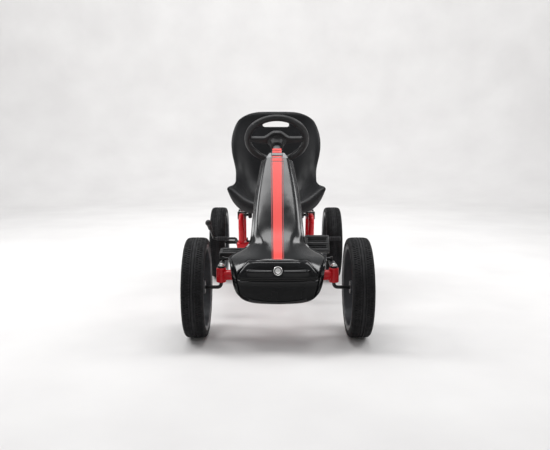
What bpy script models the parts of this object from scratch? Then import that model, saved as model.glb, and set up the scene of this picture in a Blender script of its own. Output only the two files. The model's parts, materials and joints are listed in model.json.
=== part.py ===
"""A child's pedal go kart: steel tube chassis, plastic nose fairing and bucket seat, chain drive to the
rear axle, column steering to two front knuckles, and a rubbing bar brake on the rear tyres.

Metres, +Z up. The kart faces -Y, so the driver's left is +X. The origin is on the ground, midway between
the axles. Lengthwise places are given as the distance behind the front axle, and at() turns them into world
positions.
"""

import math

import bmesh
import bpy
from mathutils import Matrix, Vector
from mathutils.bvhtree import BVHTree

# Driving dimensions
WHEEL_R = 0.140
TYRE_W = 0.060
TRACK = 0.450
WHEELBASE = 0.780
FRONT_Y = -WHEELBASE / 2
GAP = 0.0004

SIDES = (("left", 1), ("right", -1))

# Steering
KINGPIN_X = 0.158
STUB_R = 0.005
SLEEVE_R = 0.0140
SLEEVE_Z = (0.155, 0.195)
STUB_TUBE_X, STUB_TUBE_Z, STUB_TUBE_R = (0.110, 0.150), 0.1755, 0.0136
ARM_LENGTH = 0.075
COLUMN_ANGLE = math.radians(44)
WHEEL_CENTRE = (0.0, 0.325, 0.551)
COLUMN_R = 0.006
COLUMN_LENGTH = 0.3980
BUSH_BORE_R = 0.0094
UPPER_BUSH, LOWER_BUSH = 0.115, 0.371
STEERING_RIM_R = 0.0935
STEERING_RIM_TUBE = 0.011
TRACK_ROD_Z = 0.2065

# Drive
CRANK = (0.0, 0.285, 0.200)
CRANK_ARM = 0.085
CRANK_AXLE_R = 0.008
CHAIN_X = 0.040
CHAIN_PITCH = 0.0127
CHAINRING_TEETH = 26
SPROCKET_TEETH = 14
TOOTH_TIP = 0.0030
AXLE_R = 0.0075
PEDAL_X = 0.1365
PEDAL_SIZE = (0.082, 0.062, 0.020)
PEDAL_TILT = (52, 5)

# Chassis
BEAM_Z, BEAM_R = 0.171, 0.011
SPINE_Z, SPINE_R = 0.168, 0.016
CROSS_Y, CROSS_Z, CROSS_R = 0.530, 0.1696, 0.011
RAIL_X, RAIL_R = 0.1257, 0.010
HOOP_TOP_Z = 0.275
SEAT_BAR_Y = (0.555, 0.625)

# Brake
BRAKE_PIVOT = (0.0, 0.600, 0.140)
BRAKE_ROD_R = 0.005
BRAKE_PAD = (0.0, 0.632, 0.178)


def at(x, behind, z):
    """World position of a point given by its distance behind the front axle."""
    return Vector((x, behind + FRONT_Y, z))


def arc(radius, first, last, step=30, centre=(0.0, 0.0)):
    """Points of a circular arc, with its angles in degrees."""
    turns = [math.radians(angle) for angle in range(first, last + 1, step)]
    return [(centre[0] + radius * math.cos(a), centre[1] + radius * math.sin(a)) for a in turns]


# ---------------------------------------------------------------- scene helpers


def clear_scene():
    for obj in list(bpy.data.objects):
        bpy.data.objects.remove(obj, do_unlink=True)


def make_material(name, colour, roughness, metallic=0.0):
    material = bpy.data.materials.new(name)
    material.use_nodes = True
    shader = material.node_tree.nodes["Principled BSDF"]
    shader.inputs["Base Color"].default_value = (*colour, 1.0)
    shader.inputs["Roughness"].default_value = roughness
    shader.inputs["Metallic"].default_value = metallic
    material.diffuse_color = (*colour, 1.0)
    return material


def make_materials():
    return {
        "red_paint": make_material("red_paint", (0.62, 0.012, 0.02), 0.32),
        "black_paint": make_material("black_paint", (0.012, 0.012, 0.013), 0.38),
        "gloss_black": make_material("gloss_black", (0.012, 0.012, 0.014), 0.10),
        "seat_plastic": make_material("seat_plastic", (0.024, 0.025, 0.028), 0.55),
        "moulded_black": make_material("moulded_black", (0.018, 0.018, 0.02), 0.50),
        "tyre_foam": make_material("tyre_foam", (0.014, 0.014, 0.015), 0.80),
        "rim_plastic": make_material("rim_plastic", (0.055, 0.057, 0.062), 0.40),
        "zinc": make_material("zinc", (0.72, 0.72, 0.70), 0.30, 1.0),
        "chain_steel": make_material("chain_steel", (0.20, 0.19, 0.18), 0.40, 1.0),
    }


def empty(name, location, parent=None, rotation=None):
    """A joint's frame: the pieces that move with it are its children. The location is in world space."""
    obj = bpy.data.objects.new(name, None)
    bpy.context.scene.collection.objects.link(obj)
    obj.matrix_world = Matrix.Translation(location) @ (rotation or Matrix.Identity(4))
    if parent is not None:
        place_under(obj, parent)
    return obj


def place_under(obj, parent):
    """Parents obj and keeps it where it is in the world."""
    bpy.context.view_layer.update()
    world = obj.matrix_world.copy()
    obj.parent = parent
    obj.matrix_parent_inverse = Matrix.Identity(4)
    obj.matrix_basis = parent.matrix_world.inverted() @ world


def add_object(name, mesh, material, parent=None, location=(0, 0, 0), rotation=None):
    """A node from a mesh. With a parent, location and rotation are in the parent's frame."""
    obj = bpy.data.objects.new(name, mesh)
    bpy.context.scene.collection.objects.link(obj)
    if not mesh.materials:
        mesh.materials.append(material)
    obj.parent = parent
    obj.matrix_basis = Matrix.Translation(location) @ (rotation or Matrix.Identity(4))
    return obj


def finish_mesh(bm, name, smooth_angle=35):
    bmesh.ops.remove_doubles(bm, verts=bm.verts, dist=1e-6)
    bmesh.ops.recalc_face_normals(bm, faces=bm.faces)
    mesh = bpy.data.meshes.new(name)
    bm.to_mesh(mesh)
    bm.free()
    mesh.shade_smooth()
    mesh.set_sharp_from_angle(angle=math.radians(smooth_angle))
    return mesh


# ---------------------------------------------------------------- shapes


def rounded_path(points, bend, steps=4):
    """The points of a bent tube's centre line: straight runs joined by arcs of about that bend radius."""
    points = [Vector(p) for p in points]
    path = [points[0]]
    for before, corner, after in zip(points, points[1:], points[2:]):
        into, out = (before - corner).normalized(), (after - corner).normalized()
        half = into.angle(out) / 2
        reach = min(bend / math.tan(half), 0.45 * (before - corner).length, 0.45 * (after - corner).length)
        start, end = corner + into * reach, corner + out * reach
        for i in range(steps + 1):
            t = i / steps
            path.append(start * (1 - t) ** 2 + corner * 2 * t * (1 - t) + end * t**2)
    path.append(points[-1])
    return path


def tube_mesh(name, path, radius, sides=12):
    """A round bar swept along a path, with flat ends and no twist."""
    path = [Vector(p) for p in path]
    bm = bmesh.new()
    rings = []
    first = (path[1] - path[0]).normalized()
    across = first.orthogonal().normalized()
    for i, point in enumerate(path):
        ahead = (path[min(i + 1, len(path) - 1)] - point).normalized() if i < len(path) - 1 else None
        behind = (point - path[i - 1]).normalized() if i else None
        along = ahead if behind is None else behind if ahead is None else (ahead + behind).normalized()
        across = (across - along * across.dot(along)).normalized()
        other = along.cross(across)
        stretch = 1.0 if ahead is None or behind is None else 1.0 / max(0.5, along.dot(ahead))
        ring = []
        for k in range(sides):
            a = 2 * math.pi * k / sides
            offset = across * math.cos(a) + other * math.sin(a)
            ring.append(bm.verts.new(point + offset * radius * (1 + (stretch - 1) * 0.5)))
        rings.append(ring)
    for near, far in zip(rings, rings[1:]):
        for k in range(sides):
            bm.faces.new((near[k], near[(k + 1) % sides], far[(k + 1) % sides], far[k]))
    bm.faces.new(reversed(rings[0]))
    bm.faces.new(rings[-1])
    return finish_mesh(bm, name)


def lathe_mesh(name, profile, segments, closed=True):
    """A (radius, x) outline turned about the X axis, with flats rather than corners above and below."""
    bm = bmesh.new()
    start = math.pi / segments
    outline = [bm.verts.new((x, radius * math.cos(start), radius * math.sin(start))) for radius, x in profile]
    edges = [bm.edges.new(pair) for pair in zip(outline, outline[1:])]
    if closed:
        edges.append(bm.edges.new((outline[-1], outline[0])))
    bmesh.ops.spin(
        bm,
        geom=outline + edges,
        cent=(0, 0, 0),
        axis=(1, 0, 0),
        angle=2 * math.pi,
        steps=segments,
        use_merge=True,
    )
    return finish_mesh(bm, name)


def prism_mesh(name, outline, low, high, plane="YZ"):
    """A flat outline extruded from low to high along the axis that its plane leaves out."""
    axes = ["XYZ".index(letter) for letter in plane]
    depth_axis = 3 - sum(axes)

    def corner(point, depth):
        place = [0.0, 0.0, 0.0]
        place[axes[0]], place[axes[1]] = point
        place[depth_axis] = depth
        return place

    bm = bmesh.new()
    bottom = [bm.verts.new(corner(point, low)) for point in outline]
    top = [bm.verts.new(corner(point, high)) for point in outline]
    count = len(outline)
    bm.faces.new(bottom)
    bm.faces.new(list(reversed(top)))
    for i in range(count):
        bm.faces.new((bottom[i], top[i], top[(i + 1) % count], bottom[(i + 1) % count]))
    return finish_mesh(bm, name)


def box_mesh(name, low, high, bevel=0.0):
    bm = bmesh.new()
    size = [b - a for a, b in zip(low, high)]
    middle = [(a + b) / 2 for a, b in zip(low, high)]
    matrix = Matrix.Translation(middle) @ Matrix.Diagonal((*size, 1.0))
    bmesh.ops.create_cube(bm, size=1.0, matrix=matrix)
    if bevel:
        bmesh.ops.bevel(bm, geom=bm.edges[:], offset=bevel, segments=1, affect="EDGES")
    return finish_mesh(bm, name)


def combine(mesh, others, operation):
    """mesh joined with, or cut by, the other meshes, one after another."""
    base = bpy.data.objects.new("base", mesh)
    bpy.context.scene.collection.objects.link(base)
    for other in others:
        tool = bpy.data.objects.new("tool", other)
        bpy.context.scene.collection.objects.link(tool)
        modifier = base.modifiers.new("combine", "BOOLEAN")
        modifier.operation = operation
        modifier.solver = "EXACT"
        modifier.object = tool
        graph = bpy.context.evaluated_depsgraph_get()
        made = bpy.data.meshes.new_from_object(base.evaluated_get(graph))
        base.modifiers.clear()
        base.data = made
        bpy.data.objects.remove(tool)
    result = base.data
    bpy.data.objects.remove(base)
    result.materials.clear()
    result.shade_smooth()
    result.set_sharp_from_angle(angle=math.radians(35))
    return result


def joined(mesh, *others):
    return combine(mesh, others, "UNION")


def cut(mesh, *others):
    return combine(mesh, others, "DIFFERENCE")


def bar_mesh(name, start, end, radius, sides=12):
    return tube_mesh(name, [start, end], radius, sides)


def cross_bar_mesh(low, high, spot, radius, sides=16):
    """A straight bar across the kart, from x = low to x = high, through a (x, behind, z) spot."""
    return bar_mesh("bar", at(low, *spot[1:]), at(high, *spot[1:]), radius, sides)


def shell_mesh(name, rows, thickness, levels=1):
    """A smooth shell from rows of (x, behind, z) points for the +X half, mirrored and given a wall."""
    bm = bmesh.new()
    grid = []
    for row in rows:
        half = [at(*point) for point in row]
        other = [Vector((-p.x, p.y, p.z)) for p in reversed(half[1:])]
        grid.append([bm.verts.new(p) for p in other + half])
    for low, high in zip(grid, grid[1:]):
        for i in range(len(low) - 1):
            bm.faces.new((low[i], low[i + 1], high[i + 1], high[i]))
    mesh = bpy.data.meshes.new(name)
    bm.to_mesh(mesh)
    bm.free()
    obj = bpy.data.objects.new(name, mesh)
    bpy.context.scene.collection.objects.link(obj)
    smooth = obj.modifiers.new("smooth", "SUBSURF")
    smooth.levels = smooth.render_levels = levels
    wall = obj.modifiers.new("wall", "SOLIDIFY")
    wall.thickness = thickness
    wall.offset = -1.0
    wall.use_even_offset = True
    graph = bpy.context.evaluated_depsgraph_get()
    made = bpy.data.meshes.new_from_object(obj.evaluated_get(graph))
    bpy.data.objects.remove(obj)
    made.shade_smooth()
    return made


def draped_mesh(name, target, rows, direction, gap, thickness):
    """A skin over another mesh: each start point moves along direction until it meets the surface."""
    tree = BVHTree.FromPolygons([v.co for v in target.vertices], [p.vertices for p in target.polygons])
    direction = Vector(direction).normalized()
    bm = bmesh.new()
    sheets = []
    for depth in (0.0, thickness):
        sheet = []
        for row in rows:
            hits = [tree.ray_cast(start, direction)[0] for start in row]
            sheet.append([bm.verts.new(hit - direction * (gap + depth)) for hit in hits])
        sheets.append(sheet)
    back, front = sheets
    last, end = len(rows) - 1, len(rows[0]) - 1
    for sheet in sheets:
        for i in range(last):
            for k in range(end):
                bm.faces.new((sheet[i][k], sheet[i][k + 1], sheet[i + 1][k + 1], sheet[i + 1][k]))
    for k in range(end):
        for i in (0, last):
            bm.faces.new((back[i][k], back[i][k + 1], front[i][k + 1], front[i][k]))
    for i in range(last):
        for k in (0, end):
            bm.faces.new((back[i][k], back[i + 1][k], front[i + 1][k], front[i][k]))
    return finish_mesh(bm, name)


# ---------------------------------------------------------------- wheels


def tyre_mesh():
    """A solid foam tyre. Its flats, not its corners, lie at the wheel's radius."""
    sides = 40
    tread_r = WHEEL_R / math.cos(math.pi / sides)
    half = [(0.1178, 0.0262), (0.1290, TYRE_W / 2), (0.1365, 0.0280), (tread_r, 0.0190)]
    profile = half + [(r, -x) for r, x in reversed(half)]
    return lathe_mesh("tyre", profile, sides)


def rim_mesh():
    """Barrel, web and hub turned as one, then windows cut so that five twin spokes are left."""
    profile = [
        (0.1170, -0.0255),
        (0.1170, 0.0255),
        (0.1085, 0.0255),
        (0.1085, 0.0165),
        (0.0240, 0.0165),
        (0.0205, 0.0165),
        (0.0060, 0.0165),
        (0.0060, -0.0220),
        (0.0180, -0.0220),
        (0.0205, 0.0075),
        (0.1085, 0.0075),
        (0.1085, -0.0255),
    ]
    turned = lathe_mesh("rim", profile, 24)
    windows = []
    spoke_half, slot_half, outer, inner = 0.0165, 0.0045, 0.1030, 0.0360
    for k in range(5):
        middle = 2 * math.pi * (k + 0.5) / 5
        reach = math.pi / 5 - math.asin(spoke_half / outer)
        root = math.pi / 5 - math.asin(spoke_half / inner)
        arc = [middle + reach * (2 * i / 4 - 1) for i in range(5)]
        window = [(outer * math.cos(a), outer * math.sin(a)) for a in arc]
        ends = (middle + root, middle - root)
        window += [(inner * math.cos(a), inner * math.sin(a)) for a in ends]
        windows.append(prism_mesh("window", window, 0.0, 0.03))
        along = 2 * math.pi * k / 5
        turn = Matrix.Rotation(along, 2)
        slot = [(0.046, -slot_half), (0.100, -slot_half), (0.100, slot_half), (0.046, slot_half)]
        windows.append(prism_mesh("slot", [tuple(turn @ Vector(p)) for p in slot], 0.0, 0.03))
    return cut(turned, *windows)


def hub_cap_mesh():
    """A cup that closes over the axle's end, open towards the wheel."""
    profile = [
        (0.0, 0.0285),
        (0.0120, 0.0280),
        (0.0185, 0.0250),
        (0.0205, 0.0200),
        (0.0205, 0.0169),
        (0.0170, 0.0169),
        (0.0170, 0.0240),
        (0.0, 0.0250),
    ]
    return lathe_mesh("hub_cap", profile, 20, closed=False)


def add_wheel(corner, joint, shapes, materials, side):
    """Tyre, rim and hub cap in a wheel joint's frame. Outboard is +X on the left and -X on the right."""
    turn = Matrix.Identity(4) if side > 0 else Matrix.Rotation(math.pi, 4, "Z")
    for piece, material in (("tyre", "tyre_foam"), ("rim", "rim_plastic"), ("hub_cap", "moulded_black")):
        add_object(f"{piece}_{corner}", shapes[piece], materials[material], joint, rotation=turn)


# ---------------------------------------------------------------- front end


def add_front_beam(materials):
    """The cross beam with a wider stub of tube and a kingpin sleeve welded to each end."""
    beam = bar_mesh("beam", at(-KINGPIN_X, 0, BEAM_Z), at(KINGPIN_X, 0, BEAM_Z), BEAM_R)
    sleeves, bores = [], []
    for side in (-1, 1):
        low, high = (at(side * KINGPIN_X, 0, z) for z in SLEEVE_Z)
        sleeves.append(bar_mesh("sleeve", low, high, SLEEVE_R, 16))
        inner, outer = (at(side * x, 0, STUB_TUBE_Z) for x in STUB_TUBE_X)
        sleeves.append(bar_mesh("stub_tube", inner, outer, STUB_TUBE_R, 16))
        down = Vector((0, 0, 0.01))
        bores.append(bar_mesh("bore", low - down, high + down, STUB_R + 0.0008, 16))
    add_object("front_beam", cut(joined(beam, *sleeves), *bores), materials["red_paint"])


def add_knuckle(side, name, materials):
    """A bent rod that is kingpin and stub axle in one, with its steering arm, nut and wheel joint."""
    joint = empty(f"joint_knuckle_{name}", at(side * KINGPIN_X, 0, 0))
    top, bend_z, end = 0.2075, WHEEL_R, side * (0.247 - KINGPIN_X)
    rod = tube_mesh(
        "rod", rounded_path([(0, 0, top), (0, 0, bend_z), (end, 0, bend_z)], 0.013), STUB_R, 12
    )
    add_object(f"knuckle_{name}", rod, materials["black_paint"], joint)
    outline = arc(0.011, 180, 360) + arc(0.008, 0, 180, centre=(0, ARM_LENGTH))
    plate = prism_mesh("arm", outline, 0.1965, 0.2005, "XY")
    holes = [
        bar_mesh("hole", (0, 0, 0.19), (0, 0, 0.21), STUB_R + 0.0004, 16),
        bar_mesh("hole", (0, ARM_LENGTH, 0.19), (0, ARM_LENGTH, 0.21), 0.0048, 16),
    ]
    add_object(f"steering_arm_{name}", cut(plate, *holes), materials["black_paint"], joint)
    bore, rim, low, high = 0.0054, 0.0080, 0.2009, 0.2070
    nut = lathe_mesh("nut", [(bore, low), (rim, low), (rim, high - 0.002), (0.0060, high), (bore, high)], 12)
    upright = Matrix.Rotation(-math.pi / 2, 4, "Y")
    add_object(f"kingpin_nut_{name}", nut, materials["zinc"], joint, rotation=upright)
    return joint


def add_track_rod(materials):
    """A rod in two halves joined by a slotted plate that the steering column's end pin drives."""
    centre = -KINGPIN_X
    plate = box_mesh("plate", (centre - 0.020, -0.020, 0.2045), (centre + 0.020, 0.020, 0.2085))
    pieces = []
    for side in (-1, 1):
        eye = centre + side * KINGPIN_X
        inner = (centre + side * 0.016, 0, TRACK_ROD_Z)
        pieces.append(bar_mesh("rod", inner, (eye, 0, TRACK_ROD_Z), 0.005, 10))
        pieces.append(bar_mesh("pin", (eye, 0, 0.192), (eye, 0, 0.2125), 0.004, 12))
    slot = box_mesh("slot", (centre - 0.0052, -0.0135, 0.20), (centre + 0.0052, 0.0115, 0.213))
    rod = cut(joined(plate, *pieces), slot)
    add_object("track_rod", rod, materials["black_paint"], location=at(KINGPIN_X, ARM_LENGTH, 0))


# ---------------------------------------------------------------- steering column


def column_frame():
    """World matrix at the steering wheel's centre: Z runs up the column to the driver, Y up and ahead."""
    along = Vector((0, math.cos(COLUMN_ANGLE), math.sin(COLUMN_ANGLE)))
    across = Vector((-1, 0, 0))
    up = along.cross(across)
    turn = Matrix((across, up, along)).transposed().to_4x4()
    return Matrix.Translation(at(*WHEEL_CENTRE)) @ turn


def add_steering(materials):
    """Column rod with a cranked lower end, steering wheel and hub cover, all turning together."""
    frame = column_frame()
    joint = empty("joint_steering", frame.to_translation(), rotation=frame.to_3x3().to_4x4())
    low = -COLUMN_LENGTH
    path = [(0, 0, 0.004), (0, 0, low), (0, -ARM_LENGTH - 0.006, low)]
    rod = tube_mesh("rod", rounded_path(path, 0.009), COLUMN_R, 10)
    pin = bar_mesh("pin", (0, -ARM_LENGTH, low - 0.0375), (0, -ARM_LENGTH, low + 0.0005), 0.004, 12)
    add_object("steering_column", joined(rod, pin), materials["black_paint"], joint)

    add_object("steering_wheel", steering_wheel_mesh(), materials["moulded_black"], joint)
    base, top = 0.0054, 0.0162
    cap = lathe_mesh("cap", [(0, base), (0.030, base), (0.028, 0.0110), (0.018, 0.0150), (0, top)], 20, False)
    upright = Matrix.Rotation(-math.pi / 2, 4, "Y")
    add_object("steering_wheel_cap", cap, materials["moulded_black"], joint, rotation=upright)
    return frame


def steering_wheel_mesh():
    """Rim, a plate that fills its lower half under a domed cross spoke, and the boss that the column fits."""
    rim = lathe_mesh(
        "rim",
        [(STEERING_RIM_R + x, z) for x, z in arc(STEERING_RIM_TUBE, 0, 315, 45)],
        32,
    )
    rim.transform(Matrix.Rotation(-math.pi / 2, 4, "Y"))
    reach, hub, spoke_top = STEERING_RIM_R - 0.002, 0.034, 0.013
    plate = arc(reach, 180, 360, 15)
    plate += [(reach, spoke_top)]
    plate += [(x, 0.018 + 0.65 * z) for x, z in arc(hub, 0, 180)]
    plate += [(-reach, spoke_top)]
    solid = joined(
        rim,
        prism_mesh("plate", plate, -0.008, 0.004, "XY"),
        bar_mesh("boss", (0, 0, -0.034), (0, 0, 0.005), 0.021, 20),
    )
    return cut(solid, bar_mesh("bore", (0, 0, -0.05), (0, 0, 0.0048), COLUMN_R + GAP, 16))


def add_column_supports(frame, materials):
    """Bushes on the column, the strut that carries the upper one and the bracket for the lower one."""
    along = frame.to_3x3() @ Vector((0, 0, 1))
    centre = frame.to_translation()
    for name, down in (("upper", UPPER_BUSH), ("lower", LOWER_BUSH)):
        low, high = centre - along * (down + 0.011), centre - along * (down - 0.011)
        outer = bar_mesh("bush", low, high, 0.0090, 16)
        bore = bar_mesh("bore", low - along * 0.01, high + along * 0.01, COLUMN_R + 0.0006, 16)
        add_object(f"column_bush_{name}", cut(outer, bore), materials["moulded_black"])

    upper = centre - along * UPPER_BUSH
    housing = bar_mesh("housing", upper - along * 0.013, upper + along * 0.013, 0.0135, 16)
    foot = at(0, 0.235, SPINE_Z + SPINE_R + 0.0006)
    strut = bar_mesh("strut", foot, upper - Vector((0, 0, 0.009)), 0.009)
    bore = bar_mesh("bore", upper - along * 0.03, upper + along * 0.03, BUSH_BORE_R, 16)
    add_object("column_strut", cut(joined(strut, housing), bore), materials["red_paint"])

    outline = [
        (-0.011, BEAM_Z + BEAM_R + GAP),
        (0.011, BEAM_Z + BEAM_R + GAP),
        (0.010, 0.2620),
        (0.020, 0.2815),
        (0.0408, 0.2953),
        (0.0596, 0.2759),
        (0.0754, 0.2912),
        (0.0567, 0.3106),
        (0.0330, 0.3060),
        (0.0, 0.2830),
        (-0.011, 0.2620),
    ]
    post = prism_mesh("post", [(y + FRONT_Y, z) for y, z in outline], -0.0125, 0.0125)
    lower = centre - along * LOWER_BUSH
    bore = bar_mesh("bore", lower - along * 0.05, lower + along * 0.05, BUSH_BORE_R, 16)
    add_object("column_bracket", cut(post, bore), materials["red_paint"])


def add_collar(frame, materials):
    """The narrow neck that covers the column above the fairing, with an ear on each side."""
    base = frame @ Matrix.Translation((0, 0, -UPPER_BUSH))
    neck = box_mesh("neck", (-0.0185, 0.0160, -0.028), (0.0185, 0.0400, 0.036), 0.004)
    outline = [(-0.036, 0.0165), (0.036, 0.0165), (0.024, 0.032), (-0.024, 0.032)]
    ears = prism_mesh("ears", outline, 0.0215, 0.0275, "XY")
    solid = joined(neck, ears)
    solid.transform(base)
    add_object("column_collar", solid, materials["gloss_black"])


# ---------------------------------------------------------------- bodywork

# Square to the column, into the fairing: the direction in which its side walls drop
SLOPE = (math.sin(COLUMN_ANGLE), -math.cos(COLUMN_ANGLE))


def nose_row(centre, shoulder, corner, end):
    """Half a row of the fairing's nose: flat from the centre to the shoulder, round the corner, then back."""
    behind, z = centre
    between = [
        (share * shoulder[0], behind + bow * (shoulder[1] - behind), z + bow * (shoulder[2] - z))
        for share, bow in ((0.33, 0.02), (0.69, 0.22))
    ]
    late = [c * 0.5 + e * 0.5 for c, e in zip(corner, end)]
    late[0] = max(corner[0], end[0])
    return [(0, behind, z), *between, shoulder, corner, tuple(late), end]


def column_row(behind, crease_x, edge_x):
    """Half a row of the fairing's column: crown, crease, edge, and a side wall square to the slope."""
    crest_z = 0.292 + (behind + 0.008) * math.tan(COLUMN_ANGLE)
    drops = (
        (0, 0),
        (0.020, 0.001),
        (crease_x * 0.75, 0.004),
        (crease_x, 0.010),
        (edge_x, 0.022),
        (edge_x + 0.001, 0.050),
        (edge_x - 0.003, 0.080),
    )
    return [(x, behind + SLOPE[0] * drop, crest_z + SLOPE[1] * drop) for x, drop in drops]


def fairing_rows():
    """From the lip under the nose, over the bumper and the fender tips, and up the column to the neck."""
    return [
        nose_row((-0.082, 0.1210), (0.078, -0.075, 0.127), (0.096, -0.062, 0.140), (0.106, -0.021, 0.158)),
        nose_row((-0.103, 0.1135), (0.090, -0.092, 0.120), (0.108, -0.076, 0.136), (0.117, -0.020, 0.160)),
        nose_row((-0.115, 0.1300), (0.099, -0.104, 0.134), (0.116, -0.084, 0.146), (0.122, -0.019, 0.164)),
        nose_row((-0.118, 0.1820), (0.111, -0.106, 0.183), (0.124, -0.083, 0.185), (0.128, -0.018, 0.190)),
        nose_row((-0.1165, 0.202), (0.109, -0.102, 0.202), (0.125, -0.078, 0.203), (0.131, -0.016, 0.206)),
        nose_row((-0.111, 0.2320), (0.090, -0.090, 0.2285), (0.128, -0.052, 0.223), (0.134, -0.012, 0.216)),
        nose_row((-0.094, 0.2415), (0.080, -0.066, 0.2395), (0.141, -0.016, 0.230), (0.130, -0.002, 0.212)),
        nose_row((-0.074, 0.2540), (0.067, -0.044, 0.2500), (0.107, -0.003, 0.244), (0.105, 0.012, 0.218)),
        nose_row((-0.045, 0.2750), (0.059, -0.019, 0.2670), (0.082, 0.014, 0.257), (0.083, 0.038, 0.226)),
        column_row(-0.008, 0.0565, 0.0755),
        column_row(0.040, 0.0560, 0.0725),
        column_row(0.095, 0.0550, 0.0685),
        column_row(0.185, 0.0435, 0.0525),
        column_row(0.205, 0.0395, 0.0475),
    ]


# How far across the seat each point of a row lies, and how much of the bolster's rise it has: in the bucket,
# where the bolster starts early, and along the front lip and the top, which stay level further out
SEAT_ACROSS = (0, 0.32, 0.58, 0.78, 0.93, 1.0)
BUCKET_RISE = (0, 0.02, 0.18, 0.58, 0.95, 1.0)
LEVEL_RISE = (0, 0, 0.04, 0.22, 0.62, 1.0)


def seat_row(behind, z, half_width, up, forward, flare, level=0.0):
    """Half a row of the seat: its middle, and the bolster that rises from it to a flared edge."""
    row = []
    for across, early, late in zip(SEAT_ACROSS, BUCKET_RISE, LEVEL_RISE):
        rise = early + (late - early) * level
        out = flare if across == 1 else 0
        row.append((half_width * across, behind - forward * rise + out, z + up * rise))
    return row


def seat_rows():
    """From under the front lip, along the pan and up the back to the rolled top."""
    return [
        seat_row(0.440, 0.293, 0.169, 0.083, -0.004, 0, 1.0),
        seat_row(0.424, 0.305, 0.171, 0.077, -0.010, 0, 0.6),
        seat_row(0.427, 0.333, 0.166, 0.057, -0.009, 0),
        seat_row(0.465, 0.329, 0.158, 0.061, -0.003, 0),
        seat_row(0.530, 0.312, 0.152, 0.078, 0, 0),
        seat_row(0.600, 0.306, 0.148, 0.090, 0, 0),
        seat_row(0.668, 0.320, 0.149, 0.086, 0.036, 0),
        seat_row(0.708, 0.370, 0.151, 0.055, 0.056, 0.004),
        seat_row(0.724, 0.430, 0.156, 0.022, 0.050, 0.008),
        seat_row(0.737, 0.490, 0.169, 0.005, 0.049, 0.012),
        seat_row(0.749, 0.545, 0.173, -0.005, 0.045, 0.014),
        seat_row(0.759, 0.592, 0.168, -0.017, 0.038, 0.013, 0.3),
        seat_row(0.766, 0.630, 0.1545, -0.017, 0.028, 0.012, 0.7),
        seat_row(0.765, 0.654, 0.140, -0.022, 0.016, 0.008, 1.0),
        seat_row(0.783, 0.658, 0.126, -0.026, 0.017, 0.002, 1.0),
    ]


def add_bodywork(materials):
    """The nose fairing with its raised panel, centre stripe and badge, and its stay to the front beam."""
    fairing = shell_mesh("fairing", fairing_rows(), 0.003)
    add_object("fairing", fairing, materials["gloss_black"])
    stay = box_mesh("stay", at(-0.028, -0.1070, 0.166), at(0.028, -BEAM_R - GAP, 0.176), 0.001)
    add_object("fairing_stay", stay, materials["black_paint"])

    ahead = -0.3
    heights = (0.1870, 0.1990, 0.2125, 0.2240, 0.2285, 0.2340)
    half_widths = (0.1030, 0.1065, 0.0957, 0.0865, 0.0828, 0.0782)
    shares = (-1, -0.9, -0.8, -0.65, -0.4, 0, 0.4, 0.65, 0.8, 0.9, 1)
    rows = [[at(half * share, ahead, z) for share in shares] for z, half in zip(heights, half_widths)]
    panel = draped_mesh("panel", fairing, rows, (0, 1, 0), 0.0015, 0.0040)
    add_object("nose_panel", panel, materials["gloss_black"])

    rows = [
        [at(x, -0.168 + 0.0230 * step, 0.309 + 0.0200 * step) for x in (-0.0185, 0, 0.0185)]
        for step in range(14)
    ]
    down = (0, SLOPE[0], SLOPE[1])
    stripe = draped_mesh("stripe", fairing, rows, down, 0.0009, 0.0008)
    add_object("centre_stripe", stripe, materials["red_paint"])

    tree = BVHTree.FromPolygons([v.co for v in panel.vertices], [p.vertices for p in panel.polygons])
    spot, normal = tree.ray_cast(at(0, ahead, 0.2110), (0, 1, 0))[:2]
    profile = [(0, 0), (0.0125, 0), (0.0125, 0.0020), (0.0105, 0.0034), (0, 0.0038)]
    badge = lathe_mesh("badge", profile, 24, False)
    face = Matrix.Translation(spot + normal * 0.0006) @ normal.to_track_quat("X", "Z").to_matrix().to_4x4()
    add_object("nose_badge", badge, materials["zinc"], rotation=face)


def add_seat(materials):
    """The bucket seat on two cross bars that slide along the hoops and clamp with a knob on each side."""
    joint = empty("joint_seat", at(0, 0.600, HOOP_TOP_Z))
    shell = shell_mesh("seat", seat_rows(), 0.005)
    handle_half, handle_z, handle_rise, corner = 0.0515, 0.6070, 0.0205, 0.0085
    handle = [(handle_half * c, handle_z + handle_rise * s) for c, s in arc(1.0, 0, 180, 20)]
    handle += arc(corner, 180, 270, centre=(corner - handle_half, handle_z))
    handle += arc(corner, 270, 360, centre=(handle_half - corner, handle_z))
    hole = prism_mesh("hole", handle, 0.70 + FRONT_Y, 0.83 + FRONT_Y, "XZ")
    seat = add_object("seat", cut(shell, hole), materials["seat_plastic"])
    place_under(seat, joint)
    carrier = add_object("seat_carrier", seat_carrier_mesh(), materials["black_paint"])
    place_under(carrier, joint)
    profile = [(0, 0), (0.005, 0), (0.005, 0.006), (0.013, 0.008), (0.014, 0.018), (0.010, 0.021), (0, 0.021)]
    for name, side in SIDES:
        knob = lathe_mesh("knob", profile, 12, False)
        turn = Matrix.Rotation(math.pi if side > 0 else 0, 4, "Z")
        spot = at(side * (RAIL_X - RAIL_R - 0.0051), SEAT_BAR_Y[1], HOOP_TOP_Z - 0.0055)
        knob.transform(Matrix.Translation(spot) @ turn)
        knob = add_object(f"seat_knob_{name}", knob, materials["moulded_black"])
        place_under(knob, joint)


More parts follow.
